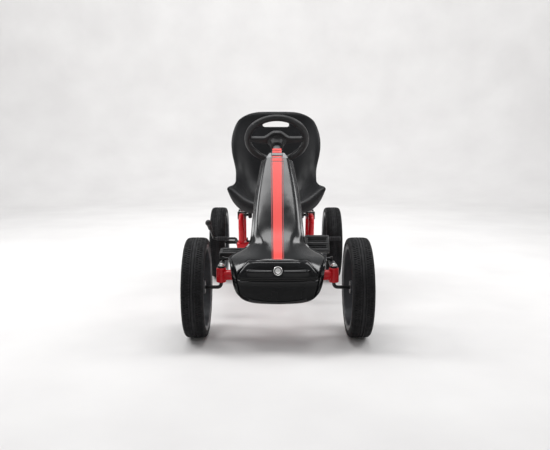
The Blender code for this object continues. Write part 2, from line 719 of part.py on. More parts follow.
def seat_carrier_mesh():
    """Two flat cross bars with claws over the hoops' rails, and two risers up to the pan."""
    top = HOOP_TOP_Z + RAIL_R + GAP
    reach, half = 0.1404, 0.012
    pieces = []
    for middle in SEAT_BAR_Y:
        front, back = middle - half, middle + half
        pieces.append(box_mesh("bar", at(-reach, front, top), at(reach, back, top + 0.004)))
        for x in (-RAIL_X, RAIL_X):
            for edge in (-RAIL_R - 0.0047, RAIL_R + 0.0007):
                low = at(x + edge, front, HOOP_TOP_Z - 0.012)
                pieces.append(box_mesh("claw", low, at(x + edge + 0.004, back, top + 0.002)))
    for low in (-0.050, 0.030):
        near = at(low, SEAT_BAR_Y[0] - 0.005, top + 0.0005)
        pieces.append(box_mesh("riser", near, at(low + 0.020, SEAT_BAR_Y[1] - 0.005, top + 0.0186)))
    return joined(*pieces)


# ---------------------------------------------------------------- chassis


def add_chassis(materials):
    """The spine with its crank shell, the welded rear frame, seat hoops, axle bearings and brake brackets."""
    red = materials["red_paint"]
    front, rear = at(0, BEAM_R + GAP, SPINE_Z), at(0, CROSS_Y - CROSS_R - GAP, SPINE_Z)
    spine = bar_mesh("spine", front, rear, SPINE_R, 16)
    shell = cross_bar_mesh(-0.024, 0.024, CRANK, 0.018, 20)
    bore = cross_bar_mesh(-0.030, 0.030, CRANK, 0.0134, 20)
    add_object("spine_tube", cut(joined(spine, shell), bore), red)
    add_crank_bushes(materials)

    axle = (0, WHEELBASE, WHEEL_R)
    cross = cross_bar_mesh(-0.142, 0.142, (0, CROSS_Y, CROSS_Z), CROSS_R, 12)
    rails = [
        bar_mesh("rail", at(x, CROSS_Y, 0.169), at(x, WHEELBASE - 0.0195, 0.1425), RAIL_R)
        for x in (-RAIL_X, RAIL_X)
    ]
    add_object("rear_frame", joined(cross, *rails), red)
    for name, side in SIDES:
        x = side * RAIL_X
        corners = [
            at(x, CROSS_Y, CROSS_Z + CROSS_R + 0.0042),
            at(x, 0.500, HOOP_TOP_Z),
            at(x, 0.715, HOOP_TOP_Z),
            at(x, 0.742, 0.1595),
        ]
        add_object(f"seat_hoop_{name}", tube_mesh("hoop", rounded_path(corners, 0.030, 5), RAIL_R), red)
        block = cross_bar_mesh(x - 0.014, x + 0.014, axle, 0.0185, 20)
        hole = cross_bar_mesh(x - 0.030, x + 0.030, axle, AXLE_R + 0.0006, 20)
        add_object(f"axle_bearing_{name}", cut(block, hole), materials["moulded_black"])
        tab = [(BRAKE_PIVOT[1] + FRONT_Y + y, z) for y, z in arc(0.009, 180, 360, centre=(0, BRAKE_PIVOT[2]))]
        tab += [(tab[-1][0], 0.1495), (tab[0][0], 0.1500)]
        tab = prism_mesh("tab", tab, x - 0.0025, x + 0.0025)
        pivot = cross_bar_mesh(x - 0.020, x + 0.020, BRAKE_PIVOT, BRAKE_ROD_R + 0.0005)
        add_object(f"brake_bracket_{name}", cut(tab, pivot), red)


def add_crank_bushes(materials):
    """A flanged bush in each end of the crank shell."""
    bore, body, flange, end = 0.0088, 0.0130, 0.0170, 0.0204
    profile = [(bore, 0), (body, 0), (body, end - 0.0024), (flange, end - 0.0020), (flange, end), (bore, end)]
    for name, side in SIDES:
        bush = lathe_mesh("bush", profile, 16)
        turn = Matrix.Rotation(0 if side > 0 else math.pi, 4, "Z")
        bush.transform(Matrix.Translation(at(side * 0.0062, *CRANK[1:])) @ turn)
        add_object(f"crank_bush_{name}", bush, materials["moulded_black"])


# ---------------------------------------------------------------- drive


def sprocket_mesh(name, teeth, half_width, bore_r):
    """A toothed plate: roots below and tips above the pitch circle."""
    pitch_r = CHAIN_PITCH / 2 / math.sin(math.pi / teeth)
    root, tip = pitch_r - 0.0036, pitch_r + TOOTH_TIP
    outline = []
    for k in range(teeth):
        for share, radius in ((-0.30, root), (-0.14, tip), (0.14, tip), (0.30, root)):
            a = (k + share) * 2 * math.pi / teeth
            outline.append((radius * math.cos(a), radius * math.sin(a)))
    plate = prism_mesh(name, outline, -half_width, half_width)
    return cut(plate, bar_mesh("bore", (-0.02, 0, 0), (0.02, 0, 0), bore_r, 16))


def belt_outline(front_r, rear_r, steps=14):
    """The taut loop round the two sprockets, as (behind - front axle, z) in world Y and Z."""
    front, rear = at(*CRANK), at(0, WHEELBASE, WHEEL_R)
    dy, dz = rear.y - front.y, rear.z - front.z
    tilt, lean = math.atan2(dz, dy), math.acos((front_r - rear_r) / math.hypot(dy, dz))
    points = []
    for centre, radius, start, sweep in (
        (front, front_r, tilt + lean, 2 * (math.pi - lean)),
        (rear, rear_r, tilt - lean, 2 * lean),
    ):
        for i in range(steps + 1):
            a = start + sweep * i / steps
            points.append((centre.y + radius * math.cos(a), centre.z + radius * math.sin(a)))
    return points


def loop_mesh(name, outer, inner, low, high):
    return cut(prism_mesh(name, outer, low, high), prism_mesh("hollow", inner, low - 0.01, high + 0.01))


def add_crank(materials):
    """The crankshaft with its two arms and spindles, the chainring and the pedals."""
    joint = empty("joint_crank", at(*CRANK))
    arm_x, pedal_end = 0.082, PEDAL_X + PEDAL_SIZE[0] / 2 - 0.004
    pieces = [bar_mesh("shaft", (-arm_x, 0, 0), (arm_x, 0, 0), CRANK_AXLE_R, 16)]
    for name, side in SIDES:
        back = side * CRANK_ARM
        outline = arc(0.012, 90, 270) + arc(0.009, -90, 90, centre=(CRANK_ARM, 0))
        arm = prism_mesh("arm", outline, side * arm_x - 0.004, side * arm_x + 0.004)
        arm.transform(Matrix.Rotation(0 if side > 0 else math.pi, 4, "X"))
        pieces.append(arm)
        pieces.append(bar_mesh("spindle", (side * arm_x, back, 0), (side * pedal_end, back, 0), 0.005, 12))
    add_object("crankshaft", joined(*pieces), materials["black_paint"], joint)
    ring = sprocket_mesh("chainring", CHAINRING_TEETH, 0.0015, CRANK_AXLE_R + GAP)
    add_object("chainring", ring, materials["chain_steel"], joint, (CHAIN_X, 0, 0))
    for (name, side), tilt in zip(SIDES, PEDAL_TILT):
        turn = Matrix.Rotation(math.radians(tilt), 4, "X")
        place = (side * PEDAL_X, side * CRANK_ARM, 0)
        add_object(f"pedal_{name}", pedal_mesh(), materials["moulded_black"], joint, place, turn)


def pedal_mesh():
    half = [size / 2 for size in PEDAL_SIZE]
    body = box_mesh("pedal", [-h for h in half], half, 0.003)
    side = half[0] - 0.012
    pockets = [
        box_mesh("pocket", (-side, low, -0.05), (side, low + 0.013, 0.05))
        for low in (0.006 - half[1], half[1] - 0.019)
    ]
    return cut(body, bar_mesh("bore", (-0.1, 0, 0), (0.1, 0, 0), 0.0056, 14), *pockets)


def add_rear_axle(materials):
    """The turning axle, necked down where its wheels sit, with the sprocket. Returns the axle's joint."""
    axle = empty("joint_rear_axle", at(0, WHEELBASE, WHEEL_R))
    rod = bar_mesh("axle", (-0.247, 0, 0), (0.247, 0, 0), AXLE_R, 16)
    necks = []
    for side in (-1, 1):
        near, far = side * 0.196, side * 0.260
        necks.append(lathe_mesh("neck", [(0.0055, near), (0.020, near), (0.020, far), (0.0055, far)], 16))
    add_object("rear_axle", cut(rod, *necks), materials["black_paint"], axle)
    sprocket = sprocket_mesh("sprocket", SPROCKET_TEETH, 0.0015, AXLE_R + GAP)
    add_object("axle_sprocket", sprocket, materials["chain_steel"], axle, (CHAIN_X, 0, 0))
    return axle


def add_chain_and_guard(materials):
    """The taut chain as one loop, and the two halves of the guard that covers it."""
    front_r, rear_r = (
        CHAIN_PITCH / 2 / math.sin(math.pi / teeth) + TOOTH_TIP for teeth in (CHAINRING_TEETH, SPROCKET_TEETH)
    )
    inside, outside, hollow, cover = (
        belt_outline(front_r + out, rear_r + out) for out in (0.0008, 0.0040, 0.0090, 0.0115)
    )
    chain = loop_mesh("chain", outside, inside, CHAIN_X - 0.0045, CHAIN_X + 0.0045)
    add_object("chain", chain, materials["chain_steel"])

    spots = (
        (CRANK, 0.0140),
        ((0, WHEELBASE, WHEEL_R), 0.0120),
        ((0, CROSS_Y, CROSS_Z), CROSS_R + 0.0012),
        (BRAKE_PIVOT, 0.0075),
    )

    def passages():
        return [cross_bar_mesh(0.020, 0.060, spot, radius) for spot, radius in spots]

    plate = prism_mesh("plate", cover, 0.0520, 0.0545)
    wall = loop_mesh("wall", cover, hollow, 0.0300, 0.0535)
    add_object("chain_guard_outer", cut(joined(plate, wall), *passages()), materials["moulded_black"])
    inner = prism_mesh("inner", cover, 0.0271, 0.0296)
    add_object("chain_guard_inner", cut(inner, *passages()), materials["moulded_black"])


# ---------------------------------------------------------------- brake


def add_brake(materials):
    """A cranked bar across the kart, a rubber sleeve ahead of each rear tyre, and a grip on its raised end."""
    joint = empty("joint_brake", at(*BRAKE_PIVOT))
    pad = [b - a for a, b in zip(BRAKE_PIVOT, BRAKE_PAD)]
    path = [
        (-0.2435, -0.084, 0.112),
        (-0.2380, 0.012, 0.056),
        (-0.2350, pad[1], pad[2]),
        (-0.1520, pad[1], pad[2]),
        (-0.1370, 0.0, 0.0),
        (0.1370, 0.0, 0.0),
        (0.1520, pad[1], pad[2]),
        (0.2450, pad[1], pad[2]),
    ]
    rod = tube_mesh("rod", rounded_path(path, 0.008, 3), BRAKE_ROD_R, 10)
    add_object("brake_bar", rod, materials["black_paint"], joint)
    start, end = Vector(path[0]), Vector(path[1])
    along = (start - end).normalized()
    grip = joined(
        bar_mesh("grip", start - along * 0.052, start + along * 0.001, 0.0078, 12),
        bar_mesh("knob", start - along * 0.004, start + along * 0.012, 0.0098, 12),
    )
    grip = cut(grip, bar_mesh("bore", start - along * 0.08, start + along * 0.0006, BRAKE_ROD_R + GAP, 12))
    add_object("brake_grip", grip, materials["moulded_black"], joint)
    for name, low, high in (("left", 0.202, 0.2445), ("right", -0.2240, -0.182)):
        sleeve = bar_mesh("sleeve", (low, pad[1], pad[2]), (high, pad[1], pad[2]), 0.0080, 12)
        near, far = (low - 0.01, pad[1], pad[2]), (high + 0.01, pad[1], pad[2])
        bore = bar_mesh("bore", near, far, BRAKE_ROD_R + GAP, 12)
        add_object(f"brake_pad_{name}", cut(sleeve, bore), materials["tyre_foam"], joint)


# ---------------------------------------------------------------- the kart


def main():
    clear_scene()
    materials = make_materials()
    add_front_beam(materials)
    shapes = {"tyre": tyre_mesh(), "rim": rim_mesh(), "hub_cap": hub_cap_mesh()}
    for name, side in SIDES:
        knuckle = add_knuckle(side, name, materials)
        spin = empty(f"joint_wheel_front_{name}", at(side * TRACK / 2, 0, WHEEL_R), knuckle)
        add_wheel(f"front_{name}", spin, shapes, materials, side)
    add_track_rod(materials)
    frame = add_steering(materials)
    add_column_supports(frame, materials)
    add_collar(frame, materials)
    add_bodywork(materials)
    add_chassis(materials)
    add_crank(materials)
    axle = add_rear_axle(materials)
    add_chain_and_guard(materials)
    for name, side in SIDES:
        spin = empty(f"joint_wheel_rear_{name}", at(side * TRACK / 2, WHEELBASE, WHEEL_R), axle)
        add_wheel(f"rear_{name}", spin, shapes, materials, side)
    add_brake(materials)
    add_seat(materials)


main()
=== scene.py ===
"""The looks of a child's pedal go kart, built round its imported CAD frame.

Metres, +Z up; the kart faces -Y.
"""

import json
import math

import bmesh
import bpy
from mathutils import Matrix, Vector
from mathutils.bvhtree import BVHTree

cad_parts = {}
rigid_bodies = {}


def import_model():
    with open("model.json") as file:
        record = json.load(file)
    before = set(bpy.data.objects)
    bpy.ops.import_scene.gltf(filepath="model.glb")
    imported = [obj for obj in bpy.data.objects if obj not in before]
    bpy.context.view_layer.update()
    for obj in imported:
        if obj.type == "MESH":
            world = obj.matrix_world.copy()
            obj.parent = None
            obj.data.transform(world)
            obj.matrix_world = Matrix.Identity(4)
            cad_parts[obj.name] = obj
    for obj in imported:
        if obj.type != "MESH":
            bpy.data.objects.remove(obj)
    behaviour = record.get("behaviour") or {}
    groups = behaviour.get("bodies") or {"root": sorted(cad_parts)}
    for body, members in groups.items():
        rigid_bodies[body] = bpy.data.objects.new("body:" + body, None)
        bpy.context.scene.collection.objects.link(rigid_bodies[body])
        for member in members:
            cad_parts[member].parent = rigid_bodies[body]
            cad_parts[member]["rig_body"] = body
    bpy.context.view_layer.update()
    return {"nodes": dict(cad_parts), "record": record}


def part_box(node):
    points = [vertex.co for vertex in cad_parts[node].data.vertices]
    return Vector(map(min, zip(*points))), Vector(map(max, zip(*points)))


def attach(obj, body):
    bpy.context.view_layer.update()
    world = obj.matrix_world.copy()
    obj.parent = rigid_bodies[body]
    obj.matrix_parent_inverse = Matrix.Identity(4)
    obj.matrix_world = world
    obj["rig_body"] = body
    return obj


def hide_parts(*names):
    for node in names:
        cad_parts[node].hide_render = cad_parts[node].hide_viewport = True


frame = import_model()

# Driving dimensions, as in the part
WHEEL_R = 0.14
TYRE_W = 0.06
WHEELBASE = 0.78
FRONT_Y = -WHEELBASE / 2
SIDES = (("left", 1), ("right", -1))

KINGPIN_X = 0.158
STUB_R = 0.005
SLEEVE_R = 0.014
SLEEVE_Z = (0.155, 0.195)
STUB_TUBE_X, STUB_TUBE_Z, STUB_TUBE_R = (0.11, 0.15), 0.1755, 0.0136
ARM_LENGTH = 0.075
COLUMN_ANGLE = math.radians(44)
WHEEL_CENTRE = (0.0, 0.325, 0.551)
COLUMN_R = 0.006
COLUMN_LENGTH = 0.398
UPPER_BUSH = 0.115
STEERING_RIM_R = 0.0935
STEERING_RIM_TUBE = 0.011

CRANK = (0.0, 0.285, 0.2)
CRANK_ARM = 0.085
CRANK_AXLE_R = 0.008
CHAIN_PITCH = 0.0127
CHAINRING_TEETH = 26
SPROCKET_TEETH = 14
TOOTH_TIP = 0.003
AXLE_R = 0.0075
PEDAL_X = 0.1365
PEDAL_SIZE = (0.082, 0.062, 0.02)
PEDAL_TILT = (52, 5)  # degrees, left and right

BEAM_Z, BEAM_R = 0.171, 0.011
SPINE_Z, SPINE_R = 0.168, 0.016
CROSS_Y, CROSS_Z, CROSS_R = 0.53, 0.1696, 0.011
RAIL_X, RAIL_R = 0.1257, 0.01
HOOP_TOP_Z = 0.275
SEAT_BAR_Y = (0.555, 0.625)
BRAKE_PIVOT = (0.0, 0.6, 0.14)
BRAKE_ROD_R = 0.005
BRAKE_PAD = (0.0, 0.632, 0.178)

# Square to the column, into the fairing
SLOPE = (math.sin(COLUMN_ANGLE), -math.cos(COLUMN_ANGLE))


def at(x, behind, z):
    """World position of a point given by its distance behind the front axle."""
    return Vector((x, behind + FRONT_Y, z))


def blend(a, b, share):
    return a + (b - a) * share


def smooth_step(low, high, value):
    share = min(1.0, max(0.0, (value - low) / (high - low)))
    return share * share * (3 - 2 * share)


def arc(radius, first, last, step=10, centre=(0.0, 0.0)):
    """Points of a circular arc, with its angles in degrees."""
    angles = [math.radians(angle) for angle in range(first, last + 1, step)]
    return [(centre[0] + radius * math.cos(a), centre[1] + radius * math.sin(a)) for a in angles]


def turns(count):
    """The angles of that many even steps round a whole turn."""
    return [2 * math.pi * i / count for i in range(count)]


def spun(x, radius, a):
    """The point at x along the X axis, radius away from it, at the angle a round it."""
    return x, radius * math.cos(a), radius * math.sin(a)


def facing(spot, direction):
    """The place at a spot whose own X runs along a direction."""
    return Matrix.Translation(spot) @ Vector(direction).to_track_quat("X", "Z").to_matrix().to_4x4()


def linked(name, data):
    """A new object of the scene."""
    obj = bpy.data.objects.new(name, data)
    bpy.context.scene.collection.objects.link(obj)
    return obj


# ---------------------------------------------------------------- materials


class Finish:
    """A Principled material whose colour, gloss and relief come from patterns over the piece's own space."""

    def __init__(self, name, colour, roughness, metallic=0.0, coat=0.0, specular=0.5):
        self.material = bpy.data.materials.new(name)
        self.material.use_nodes = True
        self.nodes = self.material.node_tree.nodes
        self.links = self.material.node_tree.links
        self.inputs = self.nodes["Principled BSDF"].inputs
        self.inputs["Base Color"].default_value = (*colour, 1.0)
        self.inputs["Roughness"].default_value = roughness
        self.inputs["Metallic"].default_value = metallic
        self.inputs["Specular IOR Level"].default_value = specular
        self.inputs["Coat Weight"].default_value = coat
        self.inputs["Coat Roughness"].default_value = 0.06
        self.normal = None

    def node(self, kind, **inputs):
        """The outputs of a new shader node. Each input is a value, or the output of another node."""
        made = self.nodes.new("ShaderNode" + kind)
        for name, value in inputs.items():
            socket = made.inputs[name.replace("_", " ")]
            if isinstance(value, bpy.types.NodeSocket):
                self.links.new(value, socket)
            else:
                socket.default_value = value
        return made.outputs

    def place(self, stretch=(1, 1, 1)):
        """The piece's own coordinates, stretched."""
        return self.node("Mapping", Vector=self.node("TexCoord")["Object"], Scale=stretch)["Vector"]

    def noise(self, scale, detail=3.0, stretch=(1, 1, 1)):
        """Cloudy patches, scale of them to the metre."""
        return self.node("TexNoise", Vector=self.place(stretch), Scale=scale, Detail=detail)["Fac"]

    def cells(self, scale, stretch=(1, 1, 1)):
        """Pebbled cells, scale of them to the metre."""
        return self.node("TexVoronoi", Vector=self.place(stretch), Scale=scale)["Distance"]

    def edges(self):
        """Half on flat ground, more on outer edges and less in grooves."""
        return self.node("NewGeometry")["Pointiness"]

    def ranged(self, value, low, high, first=0.0, second=1.0):
        """A value between low and high, brought between first and second."""
        ends = {"From_Min": low, "From_Max": high, "To_Min": first, "To_Max": second}
        return self.node("MapRange", Value=value, **ends)["Result"]

    def colours(self, pattern, low, high, first, second):
        """A base colour that runs from first to second as the pattern runs from low to high."""
        ramp = self.nodes.new("ShaderNodeValToRGB")
        ramp.color_ramp.elements[0].position = low
        ramp.color_ramp.elements[1].position = high
        ramp.color_ramp.elements[0].color = (*first, 1.0)
        ramp.color_ramp.elements[1].color = (*second, 1.0)
        self.links.new(pattern, ramp.inputs["Fac"])
        self.links.new(ramp.outputs["Color"], self.inputs["Base Color"])
        return ramp.outputs["Color"]

    def dust_and_painted_highlight(self, under, pattern, low, high, dust_and_highlight_colour):
        """One colour over what is already there, where the pattern runs high: dust specks on most finishes,
        and a painted highlight on the edges of the seat and the tyres.
        """
        mix = self.nodes.new("ShaderNodeMix")
        mix.data_type = "RGBA"
        mix.inputs["B"].default_value = (*dust_and_highlight_colour, 1.0)
        self.links.new(self.ranged(pattern, low, high), mix.inputs["Factor"])
        self.links.new(under, mix.inputs["A"])
        self.links.new(mix.outputs["Result"], self.inputs["Base Color"])
        return mix.outputs["Result"]

    def gloss(self, pattern, low, high):
        """Roughness that runs from low to high with the pattern."""
        self.links.new(self.ranged(pattern, 0.3, 0.7, low, high), self.inputs["Roughness"])

    def shine_below(self, low, high, shine):
        """Another shine below the height low, blended into the finish's own up to the height high."""
        height = self.node("SeparateXYZ", Vector=self.place())["Z"]
        specular = self.inputs["Specular IOR Level"]
        self.links.new(self.ranged(height, low, high, shine, specular.default_value), specular)

    def relief(self, pattern, depth, strength=1.0):
        """Fine relief, about depth metres from its low to its high places."""
        under = {} if self.normal is None else {"Normal": self.normal}
        self.normal = self.node("Bump", Distance=depth, Strength=strength, Height=pattern, **under)["Normal"]
        self.links.new(self.normal, self.inputs["Normal"])


def gloss_black(name="gloss_black_abs", specular=0.4, low_shine=None):
    """Polished ABS bodywork, faintly wavy and a little dusty. low_shine is what shine_below takes."""
    finish = Finish(name, (0.0038, 0.0042, 0.0048), 0.14, specular=specular)
    base = finish.colours(finish.noise(9), 0.35, 0.7, (0.0031, 0.0034, 0.0039), (0.0046, 0.0051, 0.0058))
    finish.dust_and_painted_highlight(base, finish.noise(900, 1.0), 0.7, 0.8, (0.018, 0.019, 0.02))
    finish.gloss(finish.noise(22, 4.0), 0.09, 0.19)
    finish.relief(finish.noise(30, 1.0), 0.0005, 0.25)
    if low_shine:
        finish.shine_below(*low_shine)
    return finish.material


def red_paint():
    """Red powder coat: an orange-peel skin and a slight drift of tone."""
    finish = Finish("red_powder_coat", (0.65, 0.008, 0.016), 0.26, coat=0.08, specular=0.34)
    finish.colours(finish.noise(26), 0.3, 0.75, (0.63, 0.0072, 0.0145), (0.68, 0.009, 0.0172))
    finish.gloss(finish.noise(20, 2.0), 0.24, 0.32)
    finish.relief(finish.noise(300, 2.0), 0.00003, 0.35)
    return finish.material


def black_paint():
    """Black powder coat on steel, with a fine texture."""
    finish = Finish("black_powder_coat", (0.0075, 0.0075, 0.0082), 0.34, specular=0.45)
    base = finish.colours(finish.noise(60), 0.35, 0.72, (0.0058, 0.0058, 0.0064), (0.0105, 0.0105, 0.0112))
    finish.dust_and_painted_highlight(base, finish.noise(800, 1.0), 0.68, 0.8, (0.04, 0.04, 0.041))
    finish.gloss(finish.noise(80, 3.0), 0.26, 0.44)
    finish.relief(finish.noise(600, 2.0), 0.00005, 0.4)
    return finish.material


def seat_plastic():
    """Blow-moulded polyethylene: pebbled grain up the seat, a painted highlight that lightens its edges, and
    a shinier pan.
    """
    finish = Finish("seat_polyethylene", (0.007, 0.0073, 0.0083), 0.44, specular=0.18)
    drift = finish.noise(14, 4.0, (1.6, 1.0, 0.35))
    base = finish.colours(drift, 0.3, 0.72, (0.005, 0.0052, 0.006), (0.0088, 0.0092, 0.0104))
    # Painted highlight: a lighter colour on the outer edges, where light catches the rolled rims.
    painted_edge_highlight = finish.dust_and_painted_highlight(base, finish.edges(), 0.53, 0.62, (0.04, 0.0415, 0.044))
    finish.dust_and_painted_highlight(painted_edge_highlight, finish.noise(700, 2.0, (1.0, 1.0, 0.25)), 0.64, 0.82, (0.026, 0.027, 0.029))
    finish.gloss(finish.noise(40, 4.0, (1.5, 1.0, 0.4)), 0.36, 0.56)
    finish.shine_below(0.35, 0.4, 0.5)
    finish.relief(finish.cells(620, (1.0, 1.0, 0.45)), 0.00035, 0.55)
    finish.relief(finish.noise(120, 3.0, (1.5, 1.0, 0.3)), 0.0005, 0.2)
    return finish.material


def moulded_black():
    """Matt moulded plastic with a fine spark-eroded grain."""
    finish = Finish("moulded_black_plastic", (0.009, 0.0092, 0.0102), 0.42, specular=0.4)
    dark, light = (0.0068, 0.007, 0.0078), (0.0115, 0.0118, 0.013)
    base = finish.colours(finish.noise(45, 4.0), 0.32, 0.72, dark, light)
    finish.dust_and_painted_highlight(base, finish.noise(900, 1.0), 0.68, 0.8, (0.036, 0.037, 0.039))
    finish.gloss(finish.noise(70, 3.0), 0.36, 0.54)
    finish.relief(finish.cells(1100), 0.0002, 0.5)
    return finish.material


def tyre_foam():
    """Foam rubber with tiny cells, dust specks on the tread, and a painted highlight that turns the tread's
    edges grey.
    """
    finish = Finish("tyre_foam_rubber", (0.0072, 0.0072, 0.0082), 0.78, specular=0.3)
    dark, light = (0.0036, 0.0036, 0.0043), (0.0068, 0.0068, 0.0079)
    base = finish.colours(finish.noise(55, 5.0), 0.32, 0.74, dark, light)
    # Painted highlight: a lighter grey on the tread's outer edges, where light catches them.
    painted_edge_highlight = finish.dust_and_painted_highlight(base, finish.edges(), 0.53, 0.66, (0.1, 0.1, 0.106))
    finish.dust_and_painted_highlight(painted_edge_highlight, finish.noise(1300, 1.0), 0.66, 0.78, (0.026, 0.026, 0.028))
    finish.gloss(finish.noise(90, 3.0), 0.64, 0.88)
    finish.relief(finish.cells(1500), 0.00022, 0.6)
    return finish.material


def rim_plastic():
    """Graphite wheel plastic with a flow-marked sheen."""
    finish = Finish("graphite_wheel_plastic", (0.044, 0.046, 0.051), 0.34, metallic=0.15, specular=0.45)
    base = finish.colours(finish.noise(40, 4.0), 0.32, 0.72, (0.034, 0.0355, 0.0395), (0.056, 0.0585, 0.064))
    finish.dust_and_painted_highlight(base, finish.noise(800, 1.0), 0.68, 0.8, (0.07, 0.072, 0.077))
    finish.gloss(finish.noise(60, 3.0), 0.28, 0.46)
    finish.relief(finish.noise(700, 2.0), 0.00014, 0.35)
    return finish.material


def zinc():
    """Bright zinc plating with a soft spangle."""
    finish = Finish("zinc_plate", (0.74, 0.74, 0.72), 0.26, metallic=1.0)
    finish.colours(finish.cells(260), 0.1, 0.8, (0.62, 0.62, 0.6), (0.82, 0.82, 0.8))
    finish.gloss(finish.noise(300, 3.0), 0.18, 0.36)
    finish.relief(finish.noise(900, 2.0), 0.00008, 0.3)
    return finish.material


def bright_silver():
    """Polished silver-coloured plating for the medallion."""
    finish = Finish("silver_plate", (0.86, 0.86, 0.85), 0.14, metallic=1.0)
    finish.colours(finish.noise(240, 3.0), 0.3, 0.75, (0.78, 0.78, 0.77), (0.92, 0.92, 0.91))
    finish.gloss(finish.noise(500, 2.0), 0.1, 0.22)
    finish.relief(finish.noise(1500, 1.0), 0.00003, 0.2)
    return finish.material


def chain_steel():
    """Oiled dark steel."""
    finish = Finish("oiled_steel", (0.2, 0.19, 0.18), 0.38, metallic=1.0)
    finish.colours(finish.noise(180, 4.0), 0.3, 0.72, (0.11, 0.105, 0.1), (0.27, 0.26, 0.25))
    finish.gloss(finish.noise(240, 3.0), 0.26, 0.5)
    finish.relief(finish.noise(900, 2.0), 0.00012, 0.4)
    return finish.material


def stripe_red():
    """Red vinyl stripe under a clear film."""
    finish = Finish("stripe_red_vinyl", (0.74, 0.04, 0.03), 0.34, specular=0.35)
    finish.colours(finish.noise(9, 1.0), 0.2, 0.8, (0.73, 0.038, 0.029), (0.76, 0.042, 0.032))
    finish.gloss(finish.noise(15, 1.0), 0.3, 0.36)
    finish.relief(finish.noise(120, 1.0), 0.00003, 0.2)
    return finish.material


def pinstripe_red():
    """Darker red film for the thin lines beside the stripe."""
    finish = Finish("pinstripe_red_vinyl", (0.3, 0.018, 0.024), 0.3, specular=0.35)
    finish.colours(finish.noise(30, 2.0), 0.32, 0.72, (0.26, 0.014, 0.02), (0.34, 0.022, 0.028))
    finish.gloss(finish.noise(90, 3.0), 0.24, 0.38)
    finish.relief(finish.noise(260, 2.0), 0.00006, 0.25)
    return finish.material


def grey_plastic():
    """Mid-grey moulded plastic of the neck's ears and clip, and of the column's sleeve."""
    finish = Finish("grey_moulded_plastic", (0.24, 0.244, 0.25), 0.34, specular=0.45)
    finish.colours(finish.noise(70, 3.0), 0.32, 0.72, (0.21, 0.214, 0.22), (0.265, 0.269, 0.277))
    finish.gloss(finish.noise(110, 3.0), 0.26, 0.44)
    finish.relief(finish.noise(800, 2.0), 0.00012, 0.35)
    return finish.material


def floor_paper():
    """Pale studio paper with a barely visible mottle."""
    finish = Finish("studio_paper", (0.7, 0.69, 0.68), 0.85)
    finish.colours(finish.noise(3.0, 4.0), 0.3, 0.75, (0.66, 0.65, 0.645), (0.72, 0.712, 0.705))
    finish.relief(finish.noise(60, 3.0), 0.0008, 0.15)
    return finish.material


MATERIALS = {
    "red_paint": red_paint(),
    "black_paint": black_paint(),
    "gloss_black": gloss_black(),
    "panel_black": gloss_black("panel_black_abs", 0.24),
    "fairing_black": gloss_black("fairing_black_abs", 0.4, (0.166, 0.188, 0.14)),
    "seat_plastic": seat_plastic(),
    "moulded_black": moulded_black(),
    "tyre_foam": tyre_foam(),
    "rim_plastic": rim_plastic(),
    "zinc": zinc(),
    "chain_steel": chain_steel(),
    "silver": bright_silver(),
    "stripe": stripe_red(),
    "pinstripe": pinstripe_red(),
    "grey": grey_plastic(),
}


# ---------------------------------------------------------------- pieces and their shapes


def add_piece(name, mesh, finish, body, node=None, place=None, soften=0.0):
    """A shown piece that rides on a CAD body and may stand for a CAD node. soften rounds its sharp edges.
    """
    obj = linked(name, mesh)
    if not mesh.materials:
        mesh.materials.append(MATERIALS[finish])
    if place is not None:
        obj.matrix_world = place
    if soften:
        bevel = obj.modifiers.new("soften", "BEVEL")
        bevel.width = soften
        bevel.segments = 3
        bevel.limit_method = "ANGLE"
        bevel.angle_limit = math.radians(38)
        bevel.harden_normals = False
    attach(obj, body)
    if node:
        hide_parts(node)
    return obj


def smoothed(mesh, angle=38):
    """A mesh shaded smooth, but for its edges sharper than the angle."""
    mesh.shade_smooth()
    mesh.set_sharp_from_angle(angle=math.radians(angle))
    return mesh


def evaluated(obj):
    """The mesh of an object with its modifiers applied."""
    graph = bpy.context.evaluated_depsgraph_get()
    return bpy.data.meshes.new_from_object(obj.evaluated_get(graph))


def mesh_of(bm, name):
    """A mesh made from the bmesh, which is used up."""
    mesh = bpy.data.meshes.new(name)
    bm.to_mesh(mesh)
    bm.free()
    return mesh


def finish_mesh(bm, name, smooth_angle=38):
    bmesh.ops.remove_doubles(bm, verts=bm.verts, dist=1e-6)
    bmesh.ops.recalc_face_normals(bm, faces=bm.faces)
    return smoothed(mesh_of(bm, name), smooth_angle)


def fill(bm, grid, around=False):
    """Faces between the rows of a grid of vertices; around closes each row."""
    for low, high in zip(grid, grid[1:]):
        count = len(low)
        for i in range(count if around else count - 1):
            after = (i + 1) % count
            bm.faces.new((low[i], low[after], high[after], high[i]))


def skin(name, rows, around=False, along=False, smooth_angle=38):
    """Faces over rows of points; around closes each row, and along joins the last row to the first."""
    bm = bmesh.new()
    grid = [[bm.verts.new(point) for point in row] for row in rows]
    if along:
        grid.append(grid[0])
    fill(bm, grid, around)
    if around and not along:
        bm.faces.new(reversed(grid[0]))
        bm.faces.new(grid[-1])
    return finish_mesh(bm, name, smooth_angle)


def lathe(name, profile, segments):
    """A (radius, x) outline turned about X. It closes on itself, or starts and ends on the axis."""
    rows = [[spun(x, radius, a) for radius, x in profile] for a in turns(segments)]
    on_axis = profile[0][0] == 0 and profile[-1][0] == 0
    return skin(name, rows, around=not on_axis, along=True)


def upright(name, profile, segments):
    """A (radius, z) outline turned about Z."""
    return turned_to(lathe(name, profile, segments), Matrix.Rotation(-math.pi / 2, 4, "Y"))


def ring_profile(bore, outer, low, high, chamfer, between=()):
    """A (radius, x) outline of a ring with chamfered outer edges, and more points between them."""
    start = [(bore, low), (outer - chamfer, low), (outer, low + chamfer)]
    return [*start, *between, (outer, high - chamfer), (outer - chamfer, high), (bore, high)]


